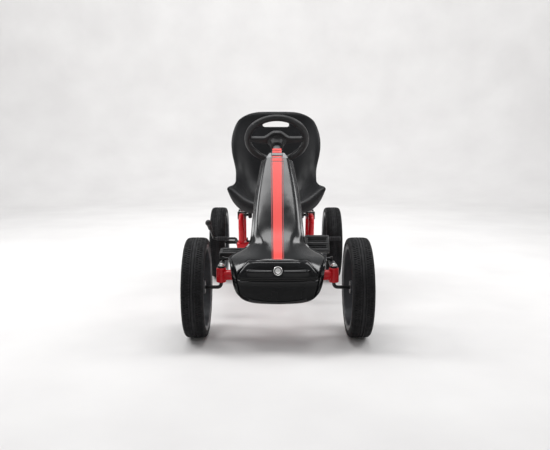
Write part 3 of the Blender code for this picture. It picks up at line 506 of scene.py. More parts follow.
def rounded_path(points, bend, steps=8):
    """The points of a bent tube's centre line: straight runs joined by bends of about that radius."""
    points = [Vector(p) for p in points]
    path = [points[0]]
    for before, corner, after in zip(points, points[1:], points[2:]):
        into, out = (before - corner).normalized(), (after - corner).normalized()
        half = into.angle(out) / 2
        reach = min(bend / math.tan(half), 0.45 * (before - corner).length, 0.45 * (after - corner).length)
        start, end = corner + into * reach, corner + out * reach
        for i in range(steps + 1):
            t = i / steps
            path.append(start * (1 - t) ** 2 + corner * 2 * t * (1 - t) + end * t**2)
    path.append(points[-1])
    return path


def tube(name, path, radius, sides=28, ends=0.0):
    """A round tube along a path; radius may be a function of the share of the way, and ends rounds it."""
    path = [Vector(p) for p in path]
    inset = 0.3 * ends
    if ends:
        first, last = (path[1] - path[0]).normalized(), (path[-1] - path[-2]).normalized()
        path = [path[0], path[0] + first * inset, path[0] + first * ends, *path[1:-1]] + [
            path[-1] - last * ends,
            path[-1] - last * inset,
            path[-1],
        ]
    total = len(path) - 1
    along = (path[1] - path[0]).normalized()
    across = along.orthogonal().normalized()
    rows = []
    for i, point in enumerate(path):
        near = path[max(i - 1, 0)]
        far = path[min(i + 1, total)]
        along = (far - near).normalized()
        across = (across - along * across.dot(along)).normalized()
        other = along.cross(across)
        size = radius(i / total) if callable(radius) else radius
        if ends and i in (0, total):
            size -= ends
        if ends and i in (1, total - 1):
            size -= inset
        rows.append([point + (across * math.cos(a) + other * math.sin(a)) * size for a in turns(sides)])
    return skin(name, rows, around=True)


def prism(name, outline, low, high, plane="YZ"):
    """A flat outline extruded from low to high along the axis that its plane leaves out."""
    axes = ["XYZ".index(letter) for letter in plane]
    rows = []
    for depth in (low, high):
        row = []
        for point in outline:
            place = [depth, depth, depth]
            place[axes[0]], place[axes[1]] = point
            row.append(tuple(place))
        rows.append(row)
    return skin(name, rows, around=True)


def block(name, low, high, bevel=0.0, segments=3):
    bm = bmesh.new()
    size = [b - a for a, b in zip(low, high)]
    middle = [(a + b) / 2 for a, b in zip(low, high)]
    matrix = Matrix.Translation(middle) @ Matrix.Diagonal((*size, 1.0))
    bmesh.ops.create_cube(bm, size=1.0, matrix=matrix)
    if bevel:
        bmesh.ops.bevel(bm, geom=bm.edges[:], offset=bevel, segments=segments, affect="EDGES", profile=0.5)
    return finish_mesh(bm, name)


def together(name, meshes):
    """Several meshes in one, each still a closed body of its own."""
    bm = bmesh.new()
    for mesh in meshes:
        bm.from_mesh(mesh)
    return smoothed(mesh_of(bm, name))


def combine(mesh, others, operation):
    """mesh joined with, or cut by, the other meshes, one after another."""
    base = linked("base", mesh)
    for other in others:
        tool = linked("tool", other)
        modifier = base.modifiers.new("combine", "BOOLEAN")
        modifier.operation = operation
        modifier.solver = "EXACT"
        modifier.object = tool
        made = evaluated(base)
        base.modifiers.clear()
        base.data = made
        bpy.data.objects.remove(tool)
    result = base.data
    bpy.data.objects.remove(base)
    result.materials.clear()
    return smoothed(result)


def joined(mesh, *others):
    return combine(mesh, others, "UNION")


def cut(mesh, *others):
    return combine(mesh, others, "DIFFERENCE")


def turned_to(mesh, matrix):
    mesh.transform(matrix)
    return mesh


def shell(name, rows, wall, levels, creases=()):
    """A smooth shell from rows of (x, behind, z) points for the +X half, mirrored and given a wall.

    A crease is (column counted from the middle, first row, last row, sharpness).
    """
    bm = bmesh.new()
    sharpness = bm.edges.layers.float.new("crease_edge")
    grid = []
    for row in rows:
        half = [at(*point) for point in row]
        other = [Vector((-p.x, p.y, p.z)) for p in reversed(half[1:])]
        grid.append([bm.verts.new(p) for p in other + half])
    fill(bm, grid)
    middle = len(rows[0]) - 1
    for column, first, last, weight in creases:
        for row in range(first, last):
            for side in (middle - column, middle + column):
                bm.edges.get((grid[row][side], grid[row + 1][side]))[sharpness] = weight
    obj = linked(name, mesh_of(bm, name))
    smooth = obj.modifiers.new("smooth", "SUBSURF")
    smooth.levels = smooth.render_levels = levels
    solid = obj.modifiers.new("wall", "SOLIDIFY")
    solid.thickness = wall
    solid.offset = -1.0
    solid.use_even_offset = True
    made = evaluated(obj)
    bpy.data.objects.remove(obj)
    return smoothed(made, 50)


def surface_of(mesh):
    return BVHTree.FromPolygons([v.co for v in mesh.vertices], [p.vertices for p in mesh.polygons])


def draped(name, surface, rows, direction, gap, depth):
    """A closed pad over a surface: each start point goes along direction until it meets it.

    depth gives how far the pad stands out, from a start point's row and column, both from 0 to 1.
    """
    direction = Vector(direction).normalized()
    bm = bmesh.new()
    last, end = len(rows) - 1, len(rows[0]) - 1
    sheets = ([], [])
    for i, row in enumerate(rows):
        hits = [surface.ray_cast(start, direction)[0] for start in row]
        for sheet, out in zip(sheets, (False, True)):
            line = []
            for k, hit in enumerate(hits):
                rise = depth(i / last, k / end) if out else 0.0
                line.append(bm.verts.new(hit - direction * (gap + rise)))
            sheet.append(line)
    back, front = sheets
    fill(bm, back)
    fill(bm, front)
    for i in (0, last):
        fill(bm, [back[i], front[i]])
    for k in (0, end):
        fill(bm, [[row[k] for row in back], [row[k] for row in front]])
    return finish_mesh(bm, name)


# ---------------------------------------------------------------- wheels

TREAD_PITCHES = 120
TREAD_DEPTH = 0.0024


def tread_radius(x):
    """A nearly flat crown that rounds over into the shoulder."""
    x = abs(x)
    crown, shoulder = 0.018, TYRE_W / 2
    if x <= crown:
        return WHEEL_R - 0.0005 * (x / crown) ** 2
    share = (x - crown) / (shoulder - crown)
    return 0.1295 + 0.01 * math.sqrt(max(0.0, 1 - share * share))


def tyre_mesh():
    """Two grooves round the middle, and beside them two staggered rows of short cross cuts on each side."""
    inner_row, outer_row = (0.0088, 0.0146), (0.0168, 0.0236)
    groove = (0.0032, 0.0054)
    lip = 0.0005
    places = [0.0]
    for low, high in (groove, inner_row, outer_row):
        places += [low - lip, low, high, high + lip]
    places += [0.0258, 0.0276, 0.0289, 0.0297, 0.03]
    places = [-x for x in reversed(places[1:])] + places
    cut_shares = (0.0, 0.05, 0.33, 0.38, 0.5, 0.55, 0.83, 0.88)
    rows = []
    for pitch in range(TREAD_PITCHES):
        for station, share in enumerate(cut_shares):
            a = 2 * math.pi * (pitch + share) / TREAD_PITCHES
            in_first, in_second = station in (1, 2), station in (5, 6)
            row = []
            for x in places:
                size = abs(x)
                deep = groove[0] <= size <= groove[1]
                for row_span, early in ((inner_row, x > 0), (outer_row, x < 0)):
                    here = in_first if early else in_second
                    deep = deep or (here and row_span[0] <= size <= row_span[1])
                radius = tread_radius(x) - (TREAD_DEPTH if deep else 0)
                row.append(spun(x, radius, a))
            ring = [(0.0292, 0.1245), (0.0296, 0.1232), (0.0296, 0.1212), (0.0288, 0.12), (0.0262, 0.1178)]
            walls = ring + [(-x, radius) for x, radius in reversed(ring)]
            row += [spun(x, radius, a) for x, radius in walls]
            rows.append(row)
    return skin("tyre", rows, around=True, along=True, smooth_angle=30)


def rim_mesh():
    """Barrel with rolled flanges, dished web and hub turned as one, then windows cut to leave twin spokes."""
    profile = [
        (0.1168, -0.023), (0.1172, -0.0262), (0.12, -0.0276), (0.1206, -0.0288), (0.1188, -0.0295),
        (0.112, -0.0284), (0.1085, -0.0262), (0.108, 0.0072), (0.023, 0.0072), (0.0195, 0.004),
        (0.018, -0.022), (0.006, -0.022), (0.006, 0.0165), (0.02, 0.0168), (0.0225, 0.0175),
        (0.033, 0.0176), (0.035, 0.016), (0.098, 0.0145), (0.104, 0.016), (0.1078, 0.0205),
        (0.109, 0.0262), (0.112, 0.0284), (0.1188, 0.0295), (0.1206, 0.0288), (0.12, 0.0276),
        (0.1172, 0.0262), (0.1168, 0.023),
    ]
    solid = lathe("rim", profile, 90)
    tools = []
    spoke_half, slot_half, outer, inner = 0.0165, 0.0045, 0.103, 0.037
    for k in range(5):
        middle = 2 * math.pi * (k + 0.5) / 5
        reach = math.pi / 5 - math.asin(spoke_half / outer)
        root = math.pi / 5 - math.asin(spoke_half / inner)
        sweep = [middle + reach * (2 * i / 12 - 1) for i in range(13)]
        window = [(outer * math.cos(a), outer * math.sin(a)) for a in sweep]
        for share in (1, 0.5, 0, -0.5, -1):
            a = middle + root * share
            window.append((inner * math.cos(a), inner * math.sin(a)))
        tools.append(prism("window", window, 0.0, 0.03))
        turn = Matrix.Rotation(2 * math.pi * k / 5, 4, "X")
        far, near = 0.0955, 0.0505
        slot = arc(slot_half, 90, 270, 20, (near, 0)) + arc(slot_half, -90, 90, 20, (far, 0))
        tools.append(turned_to(prism("slot", slot, 0.0, 0.03), turn))
        bolt = prism("bolt", arc(0.003, 0, 300, 60, (0.0278, 0)), 0.0158, 0.03)
        tools.append(turned_to(bolt, Matrix.Rotation(2 * math.pi * (k + 0.5) / 5, 4, "X")))
    return cut(solid, *tools)


def hub_cap_mesh():
    """A stepped cap that closes over the axle's end."""
    profile = [(0, 0.0285), (0.0055, 0.0284), (0.0068, 0.0278), (0.0078, 0.0276), (0.0118, 0.0274)]
    profile += [(0.0128, 0.0264), (0.0152, 0.0262), (0.0172, 0.0252), (0.019, 0.0232), (0.02, 0.0212)]
    profile += [(0.0206, 0.0196), (0.0214, 0.0188), (0.0214, 0.0169), (0.017, 0.0169)]
    profile += [(0.017, 0.023), (0, 0.024)]
    return lathe("hub_cap", profile, 48)


def add_wheels():
    tyre, rim, cap = tyre_mesh(), rim_mesh(), hub_cap_mesh()
    bodies = {
        "front_left": "wheel_front_left",
        "front_right": "wheel_front_right",
        "rear_left": "rear_axle",
        "rear_right": "wheel_rear_right",
    }
    for corner, body in bodies.items():
        low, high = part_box(f"tyre_{corner}")
        side = 1 if corner.endswith("left") else -1
        turn = Matrix.Identity(4) if side > 0 else Matrix.Rotation(math.pi, 4, "Z")
        place = Matrix.Translation((low + high) / 2) @ turn
        add_piece(f"treaded_tyre_{corner}", tyre, "tyre_foam", body, f"tyre_{corner}", place)
        add_piece(f"spoked_rim_{corner}", rim, "rim_plastic", body, f"rim_{corner}", place, 0.001)
        add_piece(f"wheel_cap_{corner}", cap, "moulded_black", body, f"hub_cap_{corner}", place)


# ---------------------------------------------------------------- bodywork


FLANGE = 0.01


def nose_row(centre, shoulder, corner, end, step):
    """Half a row of the nose: flat to the shoulder, down a step to the flange, round the corner, back."""
    behind, z = centre
    between = [
        (share * shoulder[0], behind + bow * (shoulder[1] - behind), z + bow * (shoulder[2] - z))
        for share, bow in ((0.33, 0.02), (0.69, 0.22))
    ]
    reach = math.dist(shoulder, corner)
    line, foot = (
        tuple(blend(c, s, size / reach) for c, s in zip(corner, shoulder))
        for size in (FLANGE, FLANGE - 0.0012)
    )
    foot = (foot[0], foot[1], foot[2] - step)
    late = [c * 0.5 + e * 0.5 for c, e in zip(corner, end)]
    late[0] = max(corner[0], end[0])
    return [(0, behind, z), *between, shoulder, line, foot, corner, tuple(late), end]


def column_row(behind, crease_x, edge_x):
    """Half a row of the fairing's column: crown, step, flange, and a side wall square to the slope."""
    crest_z = 0.292 + (behind + 0.008) * math.tan(COLUMN_ANGLE)
    line_x = edge_x - FLANGE
    size = crease_x / 0.0565
    drops = (
        (0, 0),
        (crease_x * 0.36, 0.0006 * size),
        (crease_x * 0.62, 0.002 * size),
        (line_x - 0.0085 * size, 0.0048 * size),
        (line_x, 0.0094 * size),
        (line_x + 0.001, 0.0094 * size + 0.004),
        (edge_x, 0.016 * size + 0.0045),
        (edge_x + 0.001, 0.05),
        (edge_x - 0.003, 0.08),
    )
    return [(x, behind + SLOPE[0] * drop, crest_z + SLOPE[1] * drop) for x, drop in drops]


def fairing_rows():
    """From the lip under the nose, over the bumper and the fender tips, and up the column to the neck."""
    nose = (
        ((-0.082, 0.121), (0.078, -0.075, 0.127), (0.096, -0.062, 0.14), (0.106, -0.021, 0.158), 0.0),
        ((-0.103, 0.1135), (0.09, -0.092, 0.12), (0.108, -0.076, 0.136), (0.117, -0.02, 0.16), 0.0),
        ((-0.115, 0.13), (0.099, -0.104, 0.134), (0.116, -0.084, 0.146), (0.122, -0.019, 0.164), 0.0),
        ((-0.118, 0.182), (0.111, -0.106, 0.183), (0.124, -0.083, 0.185), (0.128, -0.018, 0.19), 0.0),
        ((-0.1165, 0.202), (0.109, -0.102, 0.202), (0.125, -0.078, 0.203), (0.131, -0.016, 0.206), 0.0),
        ((-0.111, 0.232), (0.09, -0.09, 0.2285), (0.128, -0.052, 0.223), (0.134, -0.012, 0.216), 0.0022),
        ((-0.094, 0.2415), (0.08, -0.066, 0.2395), (0.141, -0.016, 0.23), (0.13, -0.002, 0.212), 0.0035),
        ((-0.074, 0.251), (0.067, -0.044, 0.248), (0.107, -0.003, 0.244), (0.105, 0.012, 0.218), 0.0035),
        ((-0.045, 0.269), (0.059, -0.019, 0.263), (0.082, 0.014, 0.257), (0.083, 0.038, 0.226), 0.0035),
    )
    column = (
        (-0.008, 0.0565, 0.0755),
        (0.04, 0.056, 0.0725),
        (0.095, 0.055, 0.0685),
        (0.185, 0.0435, 0.0525),
        (0.205, 0.0395, 0.0475),
    )
    return [nose_row(*row) for row in nose] + [column_row(*row) for row in column]


def add_fairing():
    """The shell, with a recess for the bumper panel and a thin mould seam below it."""
    creases = ((4, 5, 13, 0.9), (5, 5, 13, 0.9), (6, 2, 13, 0.5))
    mesh = shell("fairing", fairing_rows(), 0.003, 3, creases)
    surface = surface_of(mesh)
    rows = panel_rows(0.0022)
    recess = draped("recess", surface, rows, (0, 1, 0), -0.0016, lambda row, column: 0.02)
    rows = [[at(side * 0.0005, -0.3, blend(0.13, 0.176, i / 12)) for side in (-1, 1)] for i in range(13)]
    seam = draped("seam", surface, rows, (0, 1, 0), -0.0008, lambda row, column: 0.02)
    shaped = cut(mesh.copy(), recess, seam)
    add_piece("nose_fairing", shaped, "fairing_black", "frame", "fairing", None, 0.0009)
    return surface


PANEL_LOW = 0.187
PANEL_TOP = 0.234
PANEL_LINES = 48
PANEL_COLUMNS = 80


def panel_half_width(z):
    """Half the bumper panel's width at a height: it leans in towards the top, and its corners are round."""
    wide = 0.199
    if z < wide:
        share = min(1.0, (wide - z) / (wide - PANEL_LOW))
        return 0.1068 - 0.005 * share * share
    lean = 0.1068 - (z - wide) * 0.78
    near_top = min(1.0, max(0.0, (z - (PANEL_TOP - 0.006)) / 0.006))
    return lean - 0.007 * (1 - math.sqrt(1 - near_top * near_top))


def panel_rows(margin=0.0):
    """Rows of start points ahead of the bumper panel, which is grown by the margin."""
    rows = []
    for i in range(PANEL_LINES + 1):
        share = i / PANEL_LINES
        half = panel_half_width(blend(PANEL_LOW, PANEL_TOP, share)) + margin
        z = blend(PANEL_LOW - margin, PANEL_TOP + margin, share)
        rows.append([at(half * (2 * k / PANEL_COLUMNS - 1), -0.3, z) for k in range(PANEL_COLUMNS + 1)])
    return rows


def add_nose_panel(surface):
    """The bumper's raised panel. A ledge runs across it on both sides of the medallion."""
    ledge_z = 0.2116
    margin, base, step = 0.0055, 0.0046, 0.005

    def depth(row, column):
        z = blend(PANEL_LOW, PANEL_TOP, row)
        half = panel_half_width(z)
        x = abs(2 * column - 1) * half
        inside = min(z - PANEL_LOW, PANEL_TOP - z, half - x)
        edge = 1 - min(1.0, inside / margin)
        rounded = math.sqrt(max(0.0, 1 - edge * edge))
        ledge = (1 - smooth_step(ledge_z - 0.002, ledge_z + 0.002, z)) * smooth_step(0.013, 0.0165, x)
        ledge *= 1 - smooth_step(0.074, 0.088, x)
        belt = smooth_step(PANEL_LOW + 0.008, ledge_z - 0.003, z)
        return base * rounded + step * ledge * rounded * belt

    mesh = draped("panel", surface, panel_rows(), (0, 1, 0), -0.001, depth)
    add_piece("bumper_panel", mesh, "panel_black", "frame", "nose_panel")
    return surface_of(mesh)


def add_nose_beads(surface):
    """The moulded ledge below the panel, and the thicker lip along the nose's lower edge."""
    ahead, lines, columns = -0.3, 10, 60
    for name, low, high, half, rise, bow in (
        ("nose_ledge", 0.1768, 0.1838, 0.106, 0.0048, 0.0),
        ("nose_lip", 0.1175, 0.1265, 0.078, 0.0026, 0.009),
    ):
        rows = []
        for i in range(lines + 1):
            z = blend(low, high, i / lines)
            shares = [2 * k / columns - 1 for k in range(columns + 1)]
            rows.append([at(half * share, ahead, z + bow * share * share) for share in shares])

        def depth(row, column, rise=rise):
            end = min(1.0, (1 - abs(2 * column - 1)) / 0.1)
            bead = math.sqrt(max(0.0, 1 - (1 - 2 * row) ** 2))
            return 0.0006 + rise * bead * math.sqrt(max(0.0, 1 - (1 - end) ** 2))

        mesh = draped(name, surface, rows, (0, 1, 0), -0.0004, depth)
        add_piece(name, mesh, "gloss_black", "frame")


def add_stripe(surface):
    """The broad red stripe, with a pinstripe on each side, up the fairing from the bumper to the neck."""
    down = (0, SLOPE[0], SLOPE[1])
    steps = 130

    def start(x, share):
        reach = 13 * share
        return at(x, -0.168 + 0.023 * reach, 0.309 + 0.02 * reach)

    def half_width(share):
        return blend(0.016, 0.0192, share)

    def band(low, high, first, last, columns):
        rows = []
        for i in range(steps + 1):
            share = blend(first, last, i / steps)
            half = half_width(share)
            rows.append([start(half * blend(low, high, k / columns), share) for k in range(columns + 1)])
        return draped("band", surface, rows, down, 0.0002, lambda row, column: 0.0005)

    break_at, break_half = 0.965, 0.0035
    spans = ((0.0, break_at - break_half), (break_at + break_half, 1.0))
    broad = together("broad", [band(-0.74, 0.74, first, last, 12) for first, last in spans])
    add_piece("broad_stripe", broad, "stripe", "frame", "centre_stripe")
    thin = [band(side * 0.86, side, first, last, 2) for side in (-1, 1) for first, last in spans]
    add_piece("pinstripes", together("thin", thin), "pinstripe", "frame")


def add_medallion(panel):
    """A plain round medallion: rolled rim, dark recessed ring and a domed middle."""
    spot, normal = panel.ray_cast(at(0, -0.3, 0.211), (0, 1, 0))[:2]
    face = facing(spot, normal)
    profile = [(0, 0.003), (0.003, 0.00295), (0.0055, 0.0026), (0.0072, 0.002), (0.0076, 0.0014)]
    profile += [(0.0096, 0.0014), (0.0099, 0.0024), (0.0106, 0.003), (0.0116, 0.003), (0.0123, 0.0022)]
    profile += [(0.0125, 0.001), (0.0125, 0.0), (0.0, 0.0)]
    disc = lathe("medallion", profile, 64)
    add_piece("plain_medallion", disc, "silver", "frame", "nose_badge", face)
    ring = [(0.0078, 0.0012), (0.0078, 0.0019), (0.0094, 0.0019), (0.0094, 0.0012)]
    add_piece("medallion_ring", lathe("ring", ring, 64), "gloss_black", "frame", None, face)


# ---------------------------------------------------------------- steering


def column_frame():
    """World matrix at the steering wheel's centre: Z runs up the column to the driver, Y up and ahead."""
    along = Vector((0, math.cos(COLUMN_ANGLE), math.sin(COLUMN_ANGLE)))
    across = Vector((-1, 0, 0))
    up = along.cross(across)
    turn = Matrix((across, up, along)).transposed().to_4x4()
    return Matrix.Translation(at(*WHEEL_CENTRE)) @ turn


def steering_rim():
    """The rim, a little fuller where the hands go, with a seam line round its inside."""
    rows = []
    for a in turns(120):
        grip = smooth_step(0.35, 0.75, abs(math.cos(a)))
        size = STEERING_RIM_TUBE * (0.94 + 0.06 * grip)
        row = []
        for k, b in enumerate(turns(24)):
            seam = 0.0004 if k == 12 else 0.0
            reach = STEERING_RIM_R + (size - seam) * math.cos(b)
            row.append((reach * math.cos(a), reach * math.sin(a), (size - seam) * math.sin(b)))
        rows.append(row)
    return skin("rim", rows, around=True, along=True)


def steering_spoke():
    """The cross spoke, whose top edge swells over the hub."""
    reach = STEERING_RIM_R - 0.004
    top = [reach * (1 - i / 24) for i in range(49)]
    outline = [(x, 0.0125 + 0.0245 * (1 - smooth_step(0.008, 0.044, abs(x)))) for x in top]
    outline += [(-reach, -0.004), (-0.04, -0.012), (0.04, -0.012), (reach, -0.004)]
    return prism("spoke", outline, -0.0098, 0.0048, "XY")


def steering_plate():
    """The plate that fills the rim's lower half, with a raised border and shallow slots."""
    reach = STEERING_RIM_R - 0.003

    def outline(inset):
        edge = reach - inset
        return arc(edge, 180, 360, 5) + [(edge, 0.004 - inset), (-edge, 0.004 - inset)]

    plate = prism("plate", outline(0.0), -0.008, 0.0038, "XY")
    tools = [prism("recess", outline(0.0085), -0.02, -0.004, "XY")]
    tools.append(prism("recess", outline(0.0095), 0.0022, 0.02, "XY"))
    for side in (-1, 1):
        for near, middle in ((0.034, -0.019), (0.034, -0.029), (0.052, -0.024)):
            slot = arc(0.0022, 90, 270, 30, (near, middle))
            slot += arc(0.0022, -90, 90, 30, (near + 0.011, middle))
            tools.append(prism("slot", [(side * x, y) for x, y in slot], -0.02, -0.0014, "XY"))
    ridges = []
    for side in (-1, 1):
        path = [(side * 0.079, -0.0235, -0.009), (side * 0.035, -0.0735, -0.009)]
        ridges.append(tube("ridge", path, 0.0022, 16))
    return together("plate", [cut(plate, *tools), *ridges])


def add_steering():
    place = column_frame()
    black = "moulded_black"
    add_piece("wheel_cross_spoke", steering_spoke(), black, "steering", None, place, 0.0032)
    add_piece("wheel_rim_grip", steering_rim(), black, "steering", "steering_wheel", place)
    add_piece("wheel_plate", steering_plate(), black, "steering", None, place, 0.0012)
    boss = [(0, 0.004), (0.03, 0.004), (0.03, -0.01), (0.027, -0.014), (0.0235, -0.016)]
    boss += [(0.0215, -0.026), (0.0205, -0.033), (0.019, -0.034), (0.0064, -0.034)]
    boss += [(0.0064, -0.03), (0, -0.03)]
    mesh = upright("boss", boss, 56)
    add_piece("wheel_boss", mesh, black, "steering", None, place)
    cap = [(0, 0.0162), (0.009, 0.016), (0.01, 0.0152), (0.0112, 0.0156), (0.018, 0.0148)]
    cap += [(0.024, 0.0128), (0.0275, 0.0105), (0.0292, 0.008), (0.03, 0.0054), (0.03, 0.004)]
    cap += [(0, 0.004)]
    mesh = upright("cap", cap, 56)
    add_piece("wheel_centre_cap", mesh, black, "steering", "steering_wheel_cap", place)

    low = -COLUMN_LENGTH
    path = rounded_path([(0, 0, 0.003), (0, 0, low), (0, -ARM_LENGTH - 0.006, low)], 0.011)
    pin = tube("pin", [(0, -ARM_LENGTH, low - 0.0375), (0, -ARM_LENGTH, low + 0.0005)], 0.004, 20, 0.0008)
    rod = together("rod", [tube("rod", path, COLUMN_R, 24), pin])
    add_piece("column_rod", rod, "black_paint", "steering", "steering_column", place)
    sleeve = [(0.007, -0.0345), (0.01, -0.0345), (0.0112, -0.036), (0.0132, -0.07), (0.014, -0.074)]
    sleeve += [(0.014, -0.077), (0.0128, -0.078), (0.007, -0.078)]
    mesh = upright("sleeve", sleeve, 40)
    add_piece("column_sleeve", mesh, "grey", "steering", None, place)


def add_collar():
    """The neck over the column, with its red label in bands, and an ear on each side."""
    place = column_frame() @ Matrix.Translation((0, 0, -UPPER_BUSH))
    neck = block("neck", (-0.0185, 0.016, -0.028), (0.0185, 0.0396, 0.036), 0.0045, 4)
    add_piece("neck_cover", neck, "gloss_black", "frame", "column_collar", place)
    spans = ((-0.0235, -0.0105), (-0.009, 0.002), (0.015, 0.024), (0.0255, 0.0345))
    bands = [block("band", (-0.0142, 0.0388, low), (0.0142, 0.0402, high), 0.0003, 1) for low, high in spans]
    add_piece("neck_label", together("label", bands), "stripe", "frame", None, place)
    clip = block("clip", (-0.016, 0.0385, 0.0035), (0.016, 0.0415, 0.0135), 0.0012, 3)
    add_piece("neck_clip", clip, "grey", "frame", None, place)
    sides = [
        block("edge", (x - 0.001, 0.0388, -0.0235), (x + 0.001, 0.04, 0.002)) for x in (-0.0168, 0.0168)
    ]
    mesh = together("edges", sides)
    add_piece("neck_pinstripes", mesh, "pinstripe", "frame", None, place)
    ears = []
    for side in (-1, 1):
        outline = [(0.0165, -0.008), (0.032, -0.006), (0.0335, -0.002)]
        outline += [(0.0235, 0.0165), (0.0165, 0.0185)]
        ears.append(prism("ear", [(side * x, z) for x, z in outline], 0.029, 0.0385, "XZ"))
    add_piece("neck_ears", together("ears", ears), "grey", "frame", None, place, 0.0014)


# ---------------------------------------------------------------- seat

SEAT_ACROSS = (0, 0.32, 0.58, 0.78, 0.93, 1.0)
BUCKET_RISE = (0, 0.02, 0.18, 0.58, 0.95, 1.0)
LEVEL_RISE = (0, 0, 0.04, 0.22, 0.62, 1.0)


def seat_row(behind, z, half_width, up, forward, flare, level=0.0):
    """Half a row of the seat: its middle, and the bolster that rises from it to a flared edge.

    The bolster starts early in the bucket, and late along the front lip and the top, where level is 1.
    """
    row = []
    for across, early, late in zip(SEAT_ACROSS, BUCKET_RISE, LEVEL_RISE):
        rise = blend(early, late, level)
        out = flare if across == 1 else 0
        row.append((half_width * across, behind - forward * rise + out, z + up * rise))
    return row


def seat_rows():
    """From under the front lip, along the pan and up the back to the rolled top."""
    return [
        seat_row(0.44, 0.293, 0.169, 0.083, -0.004, 0, 1.0),
        seat_row(0.424, 0.305, 0.171, 0.077, -0.01, 0, 0.6),
        seat_row(0.427, 0.333, 0.166, 0.057, -0.009, 0),
        seat_row(0.465, 0.329, 0.158, 0.061, -0.003, 0),
        seat_row(0.53, 0.312, 0.152, 0.078, 0, 0),
        seat_row(0.6, 0.306, 0.148, 0.09, 0, 0),
        seat_row(0.668, 0.32, 0.149, 0.086, 0.036, 0),
        seat_row(0.708, 0.37, 0.151, 0.055, 0.056, 0.004),
        seat_row(0.724, 0.43, 0.156, 0.022, 0.05, 0.008),
        seat_row(0.737, 0.49, 0.169, 0.005, 0.049, 0.012),
        seat_row(0.749, 0.545, 0.173, -0.005, 0.045, 0.014),
        seat_row(0.759, 0.592, 0.168, -0.017, 0.038, 0.013, 0.3),
        seat_row(0.766, 0.63, 0.1545, -0.017, 0.028, 0.012, 0.7),
        seat_row(0.765, 0.654, 0.14, -0.022, 0.016, 0.008, 1.0),
        seat_row(0.783, 0.658, 0.126, -0.026, 0.017, 0.002, 1.0),
    ]


def add_seat():
    """The bucket, with a hand hole near the top of its back."""
    shape = shell("seat", seat_rows(), 0.005, 3)
    handle_half, handle_z, handle_rise, corner = 0.0515, 0.607, 0.0205, 0.0085
    handle = [(handle_half * c, handle_z + handle_rise * s) for c, s in arc(1.0, 0, 180, 10)]
    handle += arc(corner, 180, 270, 15, (corner - handle_half, handle_z))
    handle += arc(corner, 270, 360, 15, (handle_half - corner, handle_z))
    hole = prism("hole", handle, 0.7 + FRONT_Y, 0.83 + FRONT_Y, "XZ")
    mesh = cut(shape, hole)
    add_piece("bucket_seat", mesh, "seat_plastic", "seat", "seat", None, 0.0019)


# ---------------------------------------------------------------- pedals


def pedal_mesh():
    """A pedal body with a bearing barrel, two end cheeks and ribbed treads."""
    half = [size / 2 for size in PEDAL_SIZE]
    pieces = []
    reach = half[0] - 0.001
    pieces.append(lathe("barrel", ring_profile(0.006, 0.0095, -reach, reach, 0.001), 28))
    for side in (-1, 1):
        inner, outer = side * (half[0] - 0.011), side * half[0]
        low, high = min(inner, outer), max(inner, outer)
        cheek = block("cheek", (low, -half[1], -half[2] + 0.001), (high, half[1], half[2] - 0.001), 0.0028)
        profile = [(0, low - 0.01), (0.0058, low - 0.01), (0.0058, high + 0.01), (0, high + 0.01)]
        bore = lathe("bore", profile, 24)
        pieces.append(cut(cheek, bore))
        edge = side * (half[1] - 0.006)
        pieces.append(
            block(
                "tread",
                (-half[0] + 0.004, edge - 0.006, -half[2]),
                (half[0] - 0.004, edge + 0.006, half[2]),
                0.0024,
            )
        )
    width = half[0] - 0.009
    for k in range(5):
        y = 0.0074 * (k - 2)
        for face in (-1, 1):
            z = face * (half[2] - 0.003)
            near, far = (-width, y - 0.0013, z - 0.0026), (width, y + 0.0013, z + 0.0026)
            pieces.append(block("rib", near, far, 0.0008, 2))
    web = half[0] - 0.008
    for y in (-0.0145, 0.0145):
        pieces.append(block("web", (-web, y - 0.0075, -0.006), (web, y + 0.0075, 0.006), 0.001, 2))
    return together("pedal", pieces)


def add_pedals():
    mesh = pedal_mesh()
    for (name, side), tilt in zip(SIDES, PEDAL_TILT):
        turn = Matrix.Rotation(math.radians(tilt), 4, "X")
        x, behind, z = CRANK
        spot = at(x + side * PEDAL_X, behind + side * CRANK_ARM, z)
        place = Matrix.Translation(spot) @ turn
        pedal = f"pedal_{name}"
        add_piece(f"ribbed_{pedal}", mesh, "moulded_black", pedal, pedal, place)


# ---------------------------------------------------------------- chassis


def weld(spot, direction, radius, bead=0.002):
    """A rippled bead of weld round a tube."""
    rows = []
    for a in turns(72):
        size = bead * (1 + 0.22 * math.sin(18 * a))
        row = []
        for b in turns(10):
            reach = radius + size * math.cos(b)
            row.append(spun(size * math.sin(b) * 1.2, reach, a))
        rows.append(row)
    mesh = skin("weld", rows, around=True, along=True, smooth_angle=80)
    return turned_to(mesh, facing(spot, direction))


def cross_tube(low, high, spot, radius, sides=28, ends=0.0008):
    """A straight tube across the kart, from x = low to x = high, through a (x, behind, z) spot."""
    return tube("tube", [at(low, *spot[1:]), at(high, *spot[1:])], radius, sides, ends)


